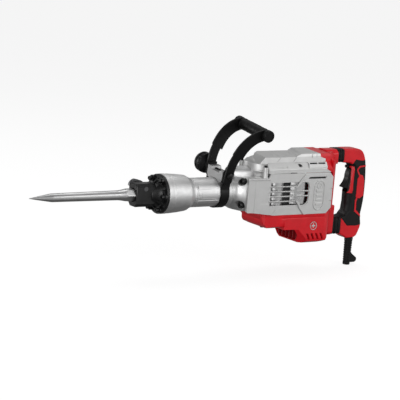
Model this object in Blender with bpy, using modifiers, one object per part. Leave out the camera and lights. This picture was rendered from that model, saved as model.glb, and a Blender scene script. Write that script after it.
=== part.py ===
"""Electric demolition hammer with a 30 mm hex point chisel, a swivel side handle and a sprung rear handle.

Frame: metres, +Z up. +X runs from the chisel to the rear handle and -Y is the side that carries the badge.
The origin is the middle of the flat under the motor cover. Everything hangs from the empty tool_axis, which
stands on the hammering axis 5 mm behind the front face of the nose, so the sizes below are measured from there:
x backwards from the nose, z up from the hammering axis.
"""
from math import cos, pi, radians, sin, sqrt

import bmesh
import bpy
from mathutils import Matrix, Vector

# Driving dimensions
MM = 0.001
GAP = 0.3 * MM                    # clearance between neighbouring pieces
NOSE_TO_ORIGIN = 535 * MM         # tool axis empty to the origin
AXIS_HEIGHT = 138 * MM            # hammering axis above the belly flat
SIDES = 24                        # facets of a large round piece
SMALL_SIDES = 12                  # facets of a small round piece

CUT_PHASE = 0.1                   # turn of a round cutter's corners, in radians

# Chisel and tool holder
CHISEL_FLATS = 30 * MM
CHISEL_TIP = -300 * MM
CHISEL_END = 110 * MM
HEX_FRONT = -24 * MM              # where the hex shank starts to taper into the round body
BODY_FRONT = -235 * MM            # where the point starts
BODY_REAR = -50 * MM
GROOVE = (14 * MM, 60 * MM)       # retaining groove along the shank
GROOVE_FLOOR = 10.5 * MM
BORE_FLATS = 30.8 * MM
NOSE = (-5 * MM, 53 * MM)         # front and rear face of the nose block
NOSE_HALF_WIDTH = 20 * MM
NOSE_HALF_HEIGHT = 29.5 * MM
NOSE_CORNER_R = 32.2 * MM
NOSE_NECK_R = 29 * MM
RIB_HALF = 3 * MM
FLANGE = (69.5 * MM, 74.5 * MM)
FLANGE_R = 51 * MM
BOLT_CIRCLE_R = 43 * MM
BOLT_HEAD_R = 5.5 * MM
BOLT_HEAD = 15 * MM
BOLT_SHANK_R = 3.4 * MM
BOLT_SHANK_END = 92 * MM
BOLT_COUNT = 6
FIRST_BOLT = radians(-30)
SLEEVE_R = 22 * MM
LATCH_X = 22 * MM
LATCH_Z = 17 * MM
LATCH_PIN_R = 6 * MM
LATCH_LEVER = (21.5 * MM, 29 * MM)  # inner and outer face of the latch lever

# Barrel group
FRONT_CASE_END = 159 * MM
BARREL_R = 38 * MM
BARREL_BORE_R = 33.3 * MM
BARREL_END = 283 * MM
LINER_R = 33 * MM
LINER_BORE_R = 28 * MM
LINER_END = 330 * MM

# Side handle, in its own frame: it stands swivelled on the barrel by SWIVEL
SWIVEL = radians(7.5)
BAND = (238 * MM, 264 * MM)
BAND_X = 251 * MM
CLAMP_Z = 57 * MM
ARM_THICK = 5 * MM
ARM_FOOT_Z = 40 * MM
ARM_FOOT_Y = 42 * MM              # middle of an arm at the clamp bolt, from the handle's middle plane
ARM_LEAN = 0.105                  # how far an arm leans out, per unit of height
BAR_X = 337 * MM
BAR_Z = 168 * MM
BAR_R = 15.5 * MM
KNOB_R = 27 * MM

# Body
SIDE_Y = 65 * MM
SHELL = 3 * MM
CRANK_X = 385 * MM
CRANK_THROW = 22 * MM
ROD_LENGTH = 112 * MM
IDLER_X = 436 * MM
MOTOR_X = 477.5 * MM
COVER_SPLIT_Z = 62.5 * MM
SIDE_BOTTOM_Z = -52 * MM
CHIN_X = 364 * MM
LIP_SWEEP = 1.08                  # how far the intake's corner moves back, per unit of depth
VENTS = 4                          # slanted vents in each side of the belly
BELLY_SPLIT_X = 437 * MM
REAR_X = 586 * MM

# Rear handle
HANDLE_HALF = 19 * MM
GRIP_Z = (-70 * MM, 62 * MM)
CORE = (681 * MM, 727 * MM)
CORE_HALF = 14.2 * MM
TRIGGER_PIVOT = (697 * MM, 47 * MM)
UPPER_ARM_Z = 90 * MM
LOWER_ARM_Z = -103 * MM


# Scene, materials and helpers

def clear_scene():
    for old in list(bpy.data.objects):
        bpy.data.objects.remove(old, do_unlink=True)


def new_collection(name):
    made = bpy.data.collections.new(name)
    bpy.context.scene.collection.children.link(made)
    return made


clear_scene()
PARTS = new_collection("demolition_hammer")
CUTTERS = new_collection("cutters")
AXIS = bpy.data.objects.new("tool_axis", None)
AXIS.location = (-NOSE_TO_ORIGIN, 0, AXIS_HEIGHT)
PARTS.objects.link(AXIS)


def material(name, colour, roughness, metallic):
    made = bpy.data.materials.new(name)
    made.use_nodes = True
    shader = made.node_tree.nodes["Principled BSDF"]
    shader.inputs["Base Color"].default_value = (*colour, 1)
    shader.inputs["Roughness"].default_value = roughness
    shader.inputs["Metallic"].default_value = metallic
    return made


ALUMINIUM = material("cast_aluminium", (0.62, 0.62, 0.61), 0.4, 1.0)
SILVER = material("silver_cover", (0.52, 0.52, 0.51), 0.45, 0.6)
RED = material("red_plastic", (0.58, 0.015, 0.02), 0.4, 0.0)
BLACK = material("black_steel", (0.02, 0.02, 0.022), 0.45, 0.3)
RUBBER = material("black_rubber", (0.012, 0.012, 0.013), 0.7, 0.0)
STEEL = material("bright_steel", (0.55, 0.55, 0.56), 0.3, 1.0)
COPPER = material("copper", (0.7, 0.3, 0.15), 0.35, 1.0)


def keep(mesh, name, surface, location=(0, 0, 0), rotation=(0, 0, 0), parent=None):
    """One named piece: a mesh with its material, hung from the tool axis or from a moving piece's empty."""
    made = bpy.data.objects.new(name, mesh)
    if surface:
        PARTS.objects.link(made)
        mesh.materials.clear()
        mesh.materials.append(surface)
    else:
        CUTTERS.objects.link(made)
        made.hide_render = True
        made.display_type = "WIRE"
    made.location = location
    made.rotation_euler = rotation
    made.parent = parent or AXIS
    return made


def pivot(name, location):
    """An empty on a moving piece's joint axis."""
    made = bpy.data.objects.new(name, None)
    PARTS.objects.link(made)
    made.location = location
    made.parent = AXIS
    return made


def box(name, surface, low, high, bevel=0.0, parent=None, location=(0, 0, 0)):
    """A block between two corners, with rounded edges where bevel is given."""
    mesh = bpy.data.meshes.new(name)
    bm = bmesh.new()
    bmesh.ops.create_cube(bm, size=1)
    low, high = Vector(low), Vector(high)
    size = high - low
    middle = (low + high) / 2
    bmesh.ops.scale(bm, vec=size, verts=bm.verts)
    bmesh.ops.translate(bm, vec=middle, verts=bm.verts)
    bm.to_mesh(mesh)
    bm.free()
    made = keep(mesh, name, surface, location=location, parent=parent)
    if bevel:
        round_edges(made, bevel)
    return made


def round_edges(piece, width, segments=2, angle=35):
    rounding = piece.modifiers.new("rounding", "BEVEL")
    rounding.width = width
    rounding.segments = segments
    rounding.limit_method = "ANGLE"
    rounding.angle_limit = radians(angle)


ALONG = {"X": (0, pi / 2, 0), "Y": (-pi / 2, 0, 0), "Z": (0, 0, 0)}


def turned(name, surface, outer, inner=(), axis="X", at=(0, 0, 0), sides=SIDES, parent=None, phase=0.0):
    """A turned piece. outer and inner list (station along the axis, radius) from low to high station."""
    top_down = [(radius, station) for station, radius in reversed(outer)]
    if inner:
        loop = top_down + [(radius, station) for station, radius in inner]
    else:
        loop = [(0, outer[-1][0])] + top_down + [(0, outer[0][0])]
    mesh = bpy.data.meshes.new(name)
    points = [(radius * cos(phase), radius * sin(phase), station) for radius, station in loop]
    edges = [(k, k + 1) for k in range(len(points) - 1)]
    if inner:
        edges.append((len(points) - 1, 0))
    mesh.from_pydata(points, edges, [])
    made = keep(mesh, name, surface, location=at, rotation=ALONG[axis], parent=parent)
    spin = made.modifiers.new("spin", "SCREW")
    spin.steps = sides
    spin.render_steps = sides
    spin.use_merge_vertices = True
    spin.merge_threshold = 0.00001
    return made


def rod(name, surface, low, high, radius, axis="X", at=(0, 0, 0), sides=SMALL_SIDES, parent=None):
    return turned(name, surface, [(low, radius), (high, radius)], axis=axis, at=at, sides=sides,
        parent=parent)


def drill(name, low, high, radius, axis="X", at=(0, 0, 0), sides=SMALL_SIDES, parent=None):
    """A cutter whose flats, not its corners, clear the given radius. Its corners stay off those it cuts."""
    outer = [(low, radius / cos(pi / sides)), (high, radius / cos(pi / sides))]
    return turned(name, None, outer, axis=axis, at=at, sides=sides, parent=parent, phase=CUT_PHASE)


def ring(name, surface, low, high, radius, bore, axis="X", at=(0, 0, 0), sides=SMALL_SIDES, parent=None):
    return turned(name, surface, [(low, radius), (high, radius)], [(low, bore), (high, bore)],
                  axis, at, sides, parent)


def hex_rod(name, surface, low, high, flats, at=(0, 0, 0)):
    """A hexagonal bar along X with flats above and below."""
    mesh = bpy.data.meshes.new(name)
    bm = bmesh.new()
    radius = flats / sqrt(3)
    bmesh.ops.create_cone(bm, cap_ends=True, segments=6, radius1=radius, radius2=radius, depth=high - low)
    bmesh.ops.rotate(bm, matrix=Matrix.Rotation(pi / 2, 3, "Y"), verts=bm.verts)
    bmesh.ops.translate(bm, vec=((low + high) / 2, 0, 0), verts=bm.verts)
    turn = 0 if abs(max(v.co.z for v in bm.verts) - flats / 2) < 0.1 * MM else pi / 6
    bmesh.ops.rotate(bm, matrix=Matrix.Rotation(turn, 3, "X"), verts=bm.verts)
    bm.to_mesh(mesh)
    bm.free()
    return keep(mesh, name, surface, location=at)


def plate(name, surface, outline, low, high, plane="XZ", at=(0, 0, 0), parent=None):
    """A flat outline given thickness: XZ outlines run from y=low to y=high, XY from z, YZ from x."""
    curve = bpy.data.curves.new(name, "CURVE")
    curve.dimensions = "2D"
    curve.fill_mode = "BOTH"
    curve.extrude = (high - low) / 2
    line = curve.splines.new("POLY")
    line.points.add(len(outline) - 1)
    for point, (u, v) in zip(line.points, outline):
        point.co = (u, v, 0, 1)
    line.use_cyclic_u = True
    drawn = bpy.data.objects.new(name + "_outline", curve)
    CUTTERS.objects.link(drawn)
    bpy.context.view_layer.update()
    mesh = bpy.data.meshes.new_from_object(drawn.evaluated_get(bpy.context.evaluated_depsgraph_get()))
    bpy.data.objects.remove(drawn)
    middle = (low + high) / 2
    turns = {"XZ": (Matrix.Rotation(pi / 2, 4, "X"), (0, middle, 0)),
             "XY": (Matrix.Identity(4), (0, 0, middle)),
             "YZ": (Matrix(((0, 0, 1, 0), (1, 0, 0, 0), (0, 1, 0, 0), (0, 0, 0, 1))), (middle, 0, 0))}
    turn, shift = turns[plane]
    bm = bmesh.new()
    bm.from_mesh(mesh)
    bmesh.ops.remove_doubles(bm, verts=bm.verts, dist=0.01 * MM)
    bmesh.ops.transform(bm, matrix=Matrix.Translation(shift) @ turn, verts=bm.verts)
    bmesh.ops.dissolve_limit(bm, angle_limit=radians(0.5), verts=bm.verts, edges=bm.edges)
    bmesh.ops.recalc_face_normals(bm, faces=bm.faces)
    bm.to_mesh(mesh)
    bm.free()
    return keep(mesh, name, surface, location=at, parent=parent)


def boolean(piece, other, operation):
    change = piece.modifiers.new(operation.lower() + "_" + other.name, "BOOLEAN")
    change.operation = operation
    change.object = other
    return piece


def cut(piece, *tools):
    for tool in tools:
        boolean(piece, tool, "DIFFERENCE")
    return piece


def add(piece, *lumps):
    for lump in lumps:
        boolean(piece, lump, "UNION")
    return piece


def arc(centre, radius, start, end, count):
    """Points of an arc, angles in degrees."""
    steps = [radians(start + (end - start) * k / count) for k in range(count + 1)]
    return [(centre[0] + radius * cos(a), centre[1] + radius * sin(a)) for a in steps]


def mm(points):
    return [(u * MM, v * MM) for u, v in points]


def gear_outline(radius, teeth, depth):
    """A spur wheel seen along its axis, with straight-sided teeth."""
    points = []
    for k in range(teeth):
        for part, reach in ((0.0, radius - depth), (0.35, radius), (0.65, radius)):
            a = 2 * pi * (k + part) / teeth
            points.append((reach * cos(a), reach * sin(a)))
    return points


# Chisel and tool holder

def make_chisel():
    bar = hex_rod("chisel", STEEL, CHISEL_TIP, CHISEL_END, CHISEL_FLATS)
    form = turned("chisel_form", None, [
        (CHISEL_TIP + 0.5 * MM, 1 * MM), (BODY_FRONT, 11.2 * MM), (BODY_REAR, 12.9 * MM),
        (HEX_FRONT, 17.6 * MM), (CHISEL_END - 2 * MM, 17.6 * MM), (CHISEL_END + 1 * MM, 15 * MM)], sides=16)
    boolean(bar, form, "INTERSECT")
    groove = box("chisel_groove", None, (GROOVE[0], -20 * MM, GROOVE_FLOOR), (GROOVE[1], 20 * MM, 20 * MM))
    return cut(bar, groove)


def make_nose():
    nose = turned("nose_cover", BLACK, [
        (40 * MM, NOSE_NECK_R), (FLANGE[0] - 6 * MM, NOSE_NECK_R), (FLANGE[0], 33 * MM),
        (FLANGE[0] + 0.1 * MM, FLANGE_R - 1 * MM), (FLANGE[0] + 1 * MM, FLANGE_R), (FLANGE[1], FLANGE_R)])
    block = box("nose_block", None, (NOSE[0], -NOSE_HALF_WIDTH, -NOSE_HALF_HEIGHT),
                (NOSE[1], NOSE_HALF_WIDTH, NOSE_HALF_HEIGHT))
    form = turned("nose_form", None, [
        (NOSE[0] - 1 * MM, 27 * MM), (NOSE[0] + 5 * MM, NOSE_CORNER_R), (NOSE[1] - 5 * MM, NOSE_CORNER_R),
        (NOSE[1] + 1 * MM, 30 * MM)], phase=CUT_PHASE)
    boolean(block, form, "INTERSECT")
    add(nose, block)
    rib_outline = mm([(46, 24), (58, 27), (70.5, 44), (70.5, 20), (46, 20)])
    for k in range(BOLT_COUNT):
        rib = plate("nose_rib_%d" % (k + 1), None, rib_outline, -RIB_HALF, RIB_HALF)
        rib.rotation_euler = (FIRST_BOLT + pi / 6 + k * pi / 3, 0, 0)
        add(nose, rib)
    bore = hex_rod("nose_bore", None, NOSE[0] - 2 * MM, 60 * MM, BORE_FLATS)
    seat = drill("nose_seat", 40 * MM, 80 * MM, SLEEVE_R + GAP, sides=16)
    hole = drill("latch_hole", -40 * MM, 40 * MM, LATCH_PIN_R + GAP, axis="Y", at=(LATCH_X, 0, LATCH_Z))
    cut(nose, bore, seat, hole)
    for k in range(BOLT_COUNT):
        cut(nose, bolt_hole("flange_hole_%d" % (k + 1), k))
    return nose


def bolt_place(k):
    a = FIRST_BOLT + k * pi / 3
    return (0, -BOLT_CIRCLE_R * sin(a), BOLT_CIRCLE_R * cos(a))


def bolt_hole(name, k):
    return drill(name, 60 * MM, BOLT_SHANK_END + 1 * MM, BOLT_SHANK_R + GAP, at=bolt_place(k))


def make_flange_bolts():
    for k in range(BOLT_COUNT):
        head_front = FLANGE[0] - BOLT_HEAD - GAP
        bolt = turned("flange_bolt_%d" % (k + 1), BLACK, [
            (head_front, BOLT_HEAD_R), (FLANGE[0] - GAP, BOLT_HEAD_R), (FLANGE[0] - GAP + 0.01 * MM,
            BOLT_SHANK_R),
            (BOLT_SHANK_END, BOLT_SHANK_R)], at=bolt_place(k))
        socket = drill("bolt_socket_%d" % (k + 1), head_front - 1 * MM, head_front + 5 * MM, 2.8 * MM,
                     at=bolt_place(k), sides=6)
        cut(bolt, socket)


def make_latch():
    """The half-round locking pin and its lever, turning together on a cross axis."""
    axis = pivot("retainer_axis", (LATCH_X, 0, LATCH_Z))
    pin = rod("retainer_latch", BLACK, 0.5 * MM - NOSE_HALF_WIDTH, LATCH_LEVER[1] + 1 * MM, LATCH_PIN_R,
              axis="Y", parent=axis)
    flat = box("latch_flat", None, (-8 * MM, -16 * MM, 0), (8 * MM, 16 * MM, 8 * MM), parent=axis)
    outline = arc((0, 0), 11 * MM, 180, 330, 8) + mm(
        [(18, 5), (14, 12), (2, 16.5), (-8, 19), (-14, 17), (-22, 11), (-26, 5), (-24, -1)])
    lever = plate("latch_lever", None, outline, *LATCH_LEVER, parent=axis)
    cut(pin, flat)
    add(pin, lever)
    return pin


def make_front_case():
    case = turned("front_case", ALUMINIUM, [
        (FLANGE[1] + GAP, FLANGE_R), (88 * MM, FLANGE_R - 0.4 * MM), (144 * MM, 46.6 * MM),
        (153 * MM, 41.5 * MM), (FRONT_CASE_END, 40 * MM)],
        [(FLANGE[1] + GAP, SLEEVE_R + GAP), (FRONT_CASE_END, SLEEVE_R + GAP)])
    for k in range(BOLT_COUNT):
        cut(case, bolt_hole("front_case_hole_%d" % (k + 1), k))
    return case


def make_tool_sleeve():
    sleeve = rod("tool_sleeve", STEEL, 40 * MM + GAP, 118 * MM, SLEEVE_R, sides=16)
    return cut(sleeve, hex_rod("sleeve_bore", None, 30 * MM, 130 * MM, CHISEL_FLATS + 0.8 * MM))


def make_impact_bolt():
    front = CHISEL_END + 0.8 * MM
    return turned("impact_bolt", STEEL, [
        (front, 13 * MM), (front + 1.5 * MM, 14.5 * MM), (130 * MM, 14.5 * MM), (132 * MM, 21.5 * MM),
        (144 * MM, 21.5 * MM), (146 * MM, 14.5 * MM), (166 * MM, 14.5 * MM)], sides=16)


# Barrel, cylinder and reciprocating parts

def make_barrel():
    barrel = turned("barrel", ALUMINIUM, [
        (FRONT_CASE_END + GAP, 39 * MM), (160 * MM, 39 * MM), (161 * MM, 36.5 * MM), (164 * MM, 36.5 * MM),
        (165 * MM, BARREL_R), (BARREL_END, BARREL_R)],
        [(FRONT_CASE_END + GAP, BARREL_BORE_R), (BARREL_END, BARREL_BORE_R)])
    pad = box("barrel_pad", None, (170 * MM, -39.2 * MM, -24 * MM), (235 * MM, 39.2 * MM, 24 * MM))
    core = rod("pad_core", None, 165 * MM, 245 * MM, BARREL_R - 2 * MM, sides=SIDES)
    cut(pad, core)
    return add(barrel, pad)


def make_cylinder():
    ring("cylinder_liner", STEEL, 160 * MM, LINER_END, LINER_R, LINER_BORE_R, sides=16)
    turned("striker", STEEL, [
        (167 * MM, 12 * MM), (178 * MM, 13 * MM), (180 * MM, LINER_BORE_R - GAP),
        (212 * MM, LINER_BORE_R - GAP)], sides=16)
    pin_x = CRANK_X - CRANK_THROW - ROD_LENGTH
    piston = rod("piston", ALUMINIUM, pin_x - 23 * MM, pin_x + 18 * MM, LINER_BORE_R - GAP, sides=16)
    slot = box("piston_slot", None, (pin_x - 14 * MM, -12 * MM, -9 * MM), (pin_x + 30 * MM, 12 * MM,
        9 * MM))
    pin_hole = drill("piston_pin_hole", -24 * MM, 24 * MM, 6 * MM, axis="Z", at=(pin_x, 0, 0))
    cut(piston, slot, pin_hole)
    rod("piston_pin", STEEL, -22 * MM, 22 * MM, 6 * MM - GAP, axis="Z", at=(pin_x, 0, 0))


def make_connecting_rod():
    """Swings on the piston pin. Its big end runs under the crank pin with a small clearance."""
    axis = pivot("rod_axis", (CRANK_X - CRANK_THROW - ROD_LENGTH, 0, 0))
    half = 6 * MM
    link = plate("connecting_rod", STEEL, arc((0, 0), 10.5 * MM, 38, 322, 12)
                 + arc((ROD_LENGTH, 0), 13 * MM, -145, 145, 12), -half, half, plane="XY", parent=axis)
    small_eye = drill("rod_small_eye", -10 * MM, 10 * MM, 6 * MM + GAP, axis="Z", parent=axis)
    big_eye = drill("rod_big_eye", -10 * MM, 10 * MM, 8.4 * MM, axis="Z", at=(ROD_LENGTH, 0, 0),
        parent=axis)
    cut(link, small_eye, big_eye)


# Side handle

SIDE_HANDLE = pivot("side_handle_axis", (0, 0, 0))
SIDE_HANDLE.rotation_euler = (SWIVEL, 0, 0)


def arm_y(z):
    """Middle of an arm at a height: the arms lean outwards."""
    return ARM_FOOT_Y + ARM_LEAN * (z - CLAMP_Z)


def lean_out(piece, side):
    """Shear an upright plate made about y=0 onto its leaning place."""
    for vertex in piece.data.vertices:
        vertex.co.y += side * arm_y(vertex.co.z)


def ribbon(middle, widths):
    """Outline of a strip with a given width at each point of its middle line."""
    left, right = [], []
    for k, (x, z) in enumerate(middle):
        before = Vector(middle[max(k - 1, 0)])
        after = Vector(middle[min(k + 1, len(middle) - 1)])
        along = (after - before).normalized()
        across = Vector((-along.y, along.x)) * widths[k] / 2
        left.append((x + across.x, z + across.y))
        right.append((x - across.x, z - across.y))
    return mm(left + right[::-1])


def make_handle_band():
    """The steel band under the barrel, whose ends rise beside it inside the arms."""
    inner = BARREL_R + 2 * GAP
    thick = 3 * MM
    top = 70 * MM
    side = arm_y(ARM_FOOT_Z) - ARM_THICK / 2 - 2 * GAP
    shape = ([(side, top)] + arc((0, 0), inner + thick, 26, -206, 24) + [(-side, top), (thick - side, top)]
             + arc((0, 0), inner, -208, 28, 24) + [(side - thick, top)])
    band = plate("clamp_band", BLACK, shape, BAND[0], BAND[1], plane="YZ", parent=SIDE_HANDLE)
    hole = drill("band_hole", -70 * MM, 70 * MM, 4 * MM + GAP, axis="Y", at=(BAND_X, 0, CLAMP_Z),
        parent=SIDE_HANDLE)
    return cut(band, hole)


def make_side_arms():
    middle = [(250, ARM_FOOT_Z * 1000), (251, 60), (254, 82), (262, 106), (275, 131), (301, 155),
        (337, 168)]
    widths = [25, 26, 27, 30, 32, 31, 27]
    for side, name in ((-1, "side_arm_near"), (1, "side_arm_far")):
        arm = plate(name, BLACK, ribbon(middle, widths), -ARM_THICK / 2, ARM_THICK / 2, parent=SIDE_HANDLE)
        lean_out(arm, side)
        hole = drill(name + "_clamp_hole", -80 * MM, 80 * MM, 4 * MM + GAP, axis="Y",
            at=(BAND_X, 0, CLAMP_Z),
                     parent=SIDE_HANDLE)
        bar_hole = drill(name + "_bar_hole", -80 * MM, 80 * MM, 5 * MM + GAP, axis="Y",
            at=(BAR_X, 0, BAR_Z),
                         parent=SIDE_HANDLE)
        cut(arm, hole, bar_hole)


def make_side_grip():
    at = (BAR_X, 0, BAR_Z)
    slope = ARM_LEAN * (BAR_R + 1 * MM)
    inside = arm_y(BAR_Z) - ARM_THICK / 2 - slope - GAP
    outside = arm_y(BAR_Z) + ARM_THICK / 2 + slope + GAP
    ring("side_grip", RUBBER, -inside, inside, BAR_R, 6 * MM, axis="Y", at=at, sides=16, parent=SIDE_HANDLE)
    rod("grip_rod", STEEL, -outside - 8 * MM, outside + 8 * MM, 5 * MM, axis="Y", at=at, parent=SIDE_HANDLE)
    for side, name in ((-1, "grip_cap_near"), (1, "grip_cap_far")):
        radius = BAR_R + 0.5 * MM
        profile = [(side * outside, radius), (side * (outside + 12 * MM), radius),
                   (side * (outside + 14 * MM), radius - 2 * MM)]
        cap = turned(name, RUBBER, sorted(profile), axis="Y", at=at, sides=16, parent=SIDE_HANDLE)
        bore = sorted((side * (outside - 1 * MM), side * (outside + 8.5 * MM)))
        cut(cap, drill(name + "_bore", bore[0], bore[1], 5 * MM + GAP, axis="Y", at=at, parent=SIDE_HANDLE))


def make_clamp():
    """The aluminium saddle on the barrel, the cross bolt and the knob that tightens the band."""
    half = 33.8 * MM
    saddle = box("clamp_saddle", ALUMINIUM, (BAND[0] - 2 * MM, -half, 20 * MM), (BAND[1] + 3 * MM, half,
        64 * MM),
                 parent=SIDE_HANDLE)
    seat = drill("saddle_seat", 200 * MM, 300 * MM, BARREL_R + GAP, sides=SIDES, parent=SIDE_HANDLE)
    hole = drill("saddle_hole", -60 * MM, 60 * MM, 4 * MM + GAP, axis="Y", at=(BAND_X, 0, CLAMP_Z),
                 parent=SIDE_HANDLE)
    low_cut = box("saddle_low_cut", None, (200 * MM, -60 * MM, 0), (300 * MM, 60 * MM, 41 * MM),
        parent=SIDE_HANDLE)
    screw_hole = drill("saddle_screw_hole", 50 * MM, 80 * MM, 4 * MM, axis="Z", at=(BAND_X, -14 * MM, 0),
                       parent=SIDE_HANDLE)
    cut(saddle, seat, low_cut, hole, screw_hole)
    axis = pivot("knob_axis", (BAND_X, 0, CLAMP_Z))
    axis.parent = SIDE_HANDLE
    head = ARM_FOOT_Y + ARM_THICK / 2 + 1.5 * MM
    disc = head + 16 * MM
    turned("clamp_bolt", BLACK, [
        (-head - 4 * MM, 6 * MM), (-head - 3 * MM, 7.5 * MM), (-head, 7.5 * MM),
        (-head + 0.01 * MM, 4 * MM),
        (disc + 18 * MM, 4 * MM)], axis="Y", at=(BAND_X, 0, CLAMP_Z), sides=12, parent=SIDE_HANDLE)
    knob = turned("clamp_knob", BLACK, [
        (head, 11 * MM), (disc - 7 * MM, 13 * MM), (disc - 3 * MM, 23 * MM), (disc, KNOB_R),
        (disc + 10 * MM, KNOB_R), (disc + 12 * MM, KNOB_R - 2 * MM), (disc + 14 * MM, KNOB_R),
        (disc + 24 * MM, KNOB_R - 3 * MM), (disc + 29 * MM, KNOB_R - 9 * MM)], axis="Y", parent=axis,
        sides=16)
    cut(knob, drill("knob_bore", 40 * MM, disc + 20 * MM, 4 * MM + GAP, axis="Y", parent=axis))


# Crank case and gearing

def make_crank_case():
    front, wide, rear = BARREL_END + GAP, 312 * MM, 428 * MM
    half, low, high = 57 * MM, -47 * MM, 58 * MM
    case = box("crank_case", ALUMINIUM, (wide, -half, low), (rear, half, high))
    funnel = turned("case_funnel", None, [
        (front, BARREL_R), (front + 5 * MM, BARREL_R + 0.5 * MM), (wide - 6 * MM, 52 * MM),
        (wide + 8 * MM, 54 * MM)])
    top_trim = box("funnel_top_trim", None, (200 * MM, -90 * MM, 50 * MM), (330 * MM, 90 * MM, 120 * MM))
    low_trim = box("funnel_low_trim", None, (200 * MM, -90 * MM, -90 * MM), (330 * MM, 90 * MM, low))
    cut(funnel, top_trim, low_trim)
    ridge = rod("case_ridge", None, front + 4 * MM, 338 * MM, 22 * MM, at=(0, 0, 44 * MM), sides=16)
    room = box("crank_room", None, (LINER_END - 12 * MM, -52 * MM, -41 * MM), (rear - 4 * MM, 52 * MM,
        53 * MM))
    mouth = plate("crank_mouth", None, mm(arc((CRANK_X * 1000, 0), 40, 90, 270, 12) + [(424, -40),
        (424, 40)]),
                  50 * MM, 70 * MM, plane="XY")
    bore = drill("case_bore", 270 * MM, LINER_END, BARREL_BORE_R, sides=16)
    add(case, funnel, ridge)
    cut(case, room, mouth, bore)
    for name, y, z in case_bolt_places():
        pocket = drill(name + "_pocket", 290 * MM, 309 * MM, 9 * MM, at=(0, y, z))
        hole = drill(name + "_hole", 300 * MM, 320 * MM, 4 * MM + GAP, at=(0, y, z))
        cut(case, pocket, hole)
    return case


def case_bolt_places():
    spots = []
    for side, word in ((-1, "near"), (1, "far")):
        spots.append(("case_bolt_upper_" + word, side * 43 * MM, 33 * MM))
        spots.append(("case_bolt_lower_" + word, side * 43 * MM, -29 * MM))
    return spots


def make_case_bolts():
    for name, y, z in case_bolt_places():
        bolt = turned(name, BLACK, [
            (299 * MM, 7 * MM), (309 * MM - GAP, 7 * MM), (309 * MM - GAP + 0.01 * MM, 4 * MM),
            (316 * MM, 4 * MM)],
            at=(0, y, z))
        cut(bolt, drill(name + "_socket", 298 * MM, 304 * MM, 3.5 * MM, at=(0, y, z), sides=6))


def wheel(name, surface, radius, teeth, low, high, parent, bore):
    made = plate(name, surface, gear_outline(radius, teeth, 2 * MM), low, high, plane="XY", parent=parent)
    if bore:
        cut(made, drill(name + "_bore", low - 1 * MM, high + 1 * MM, bore, axis="Z", parent=parent))
    return made


def make_gearing():
    crank = pivot("crank_axis", (CRANK_X, 0, 0))
    shaft = turned("crankshaft", STEEL, [
        (14 * MM, 32 * MM), (24 * MM, 32 * MM), (24.01 * MM, 10 * MM), (78 * MM, 10 * MM)],
        axis="Z", parent=crank, sides=16)
    pin = rod("crank_pin", None, 7 * MM, 16 * MM, 8 * MM, axis="Z", at=(-CRANK_THROW, 0, 0), parent=crank)
    add(shaft, pin)
    wheel("crank_gear", STEEL, 38.5 * MM, 39, 64 * MM, 76 * MM, crank, 10 * MM + GAP)
    idler = pivot("idler_axis", (IDLER_X, 0, 0))
    gear = wheel("idler_gear", STEEL, 33.8 * MM, 38, 79 * MM, 88 * MM, idler, None)
    add(gear, wheel("idler_pinion", None, 11.8 * MM, 12, 62 * MM, 80 * MM, idler, None))


def make_motor():
    motor = pivot("motor_axis", (MOTOR_X, 0, 0))
    turned("armature", STEEL, [
        (-85.5 * MM, 6 * MM), (-45 * MM, 6 * MM), (-44.9 * MM, 24.5 * MM), (-2 * MM, 24.5 * MM),
        (-1.9 * MM, 6 * MM), (78 * MM, 6 * MM), (78.1 * MM, 7.2 * MM), (89 * MM, 7.2 * MM)],
        axis="Z", parent=motor, sides=16)
    ring("commutator", COPPER, 8 * MM, 30 * MM, 15 * MM, 6 * MM + GAP, axis="Z", parent=motor, sides=16)
    fan = turned("fan", BLACK, [(-84 * MM, 12 * MM), (-81 * MM, 43 * MM), (-79 * MM, 43 * MM),
        (-68 * MM, 12 * MM)],
                 [(-84 * MM, 6 * MM + GAP), (-68 * MM, 6 * MM + GAP)], axis="Z", parent=motor, sides=16)
    blade_outline = mm([(10, -80), (42, -80), (42, -70), (20, -66.5), (10, -66.5)])
    for k in range(10):
        blade = plate("fan_blade_%d" % (k + 1), None, blade_outline, -0.8 * MM, 0.8 * MM, parent=motor)
        blade.rotation_euler = (0, 0, 2 * pi * k / 10)
        add(fan, blade)
    at = (MOTOR_X, 0, 0)
    ring("stator", STEEL, -48 * MM, 1 * MM, 42.5 * MM, 25.2 * MM, axis="Z", at=at, sides=16)
    turned("motor_case", ALUMINIUM, [(-60 * MM, 46 * MM), (58 * MM, 46 * MM)], [
        (-60 * MM, 43 * MM), (46 * MM, 43 * MM), (46.1 * MM, 14 * MM + GAP), (58 * MM, 14 * MM + GAP)],
        axis="Z", at=at)
    ring("upper_bearing", STEEL, 47 * MM, 57 * MM, 14 * MM, 6 * MM + GAP, axis="Z", at=at, sides=16)
    ring("lower_bearing", STEEL, -65 * MM, -56 * MM, 14 * MM, 6 * MM + GAP, axis="Z", at=at, sides=16)


# Covers

def side_cover_outline():
    return mm([(306, -46), (316, -52), (569, -52), (581, -40), (582, 44), (566, 62), (322, 62), (306, 47)])


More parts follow.
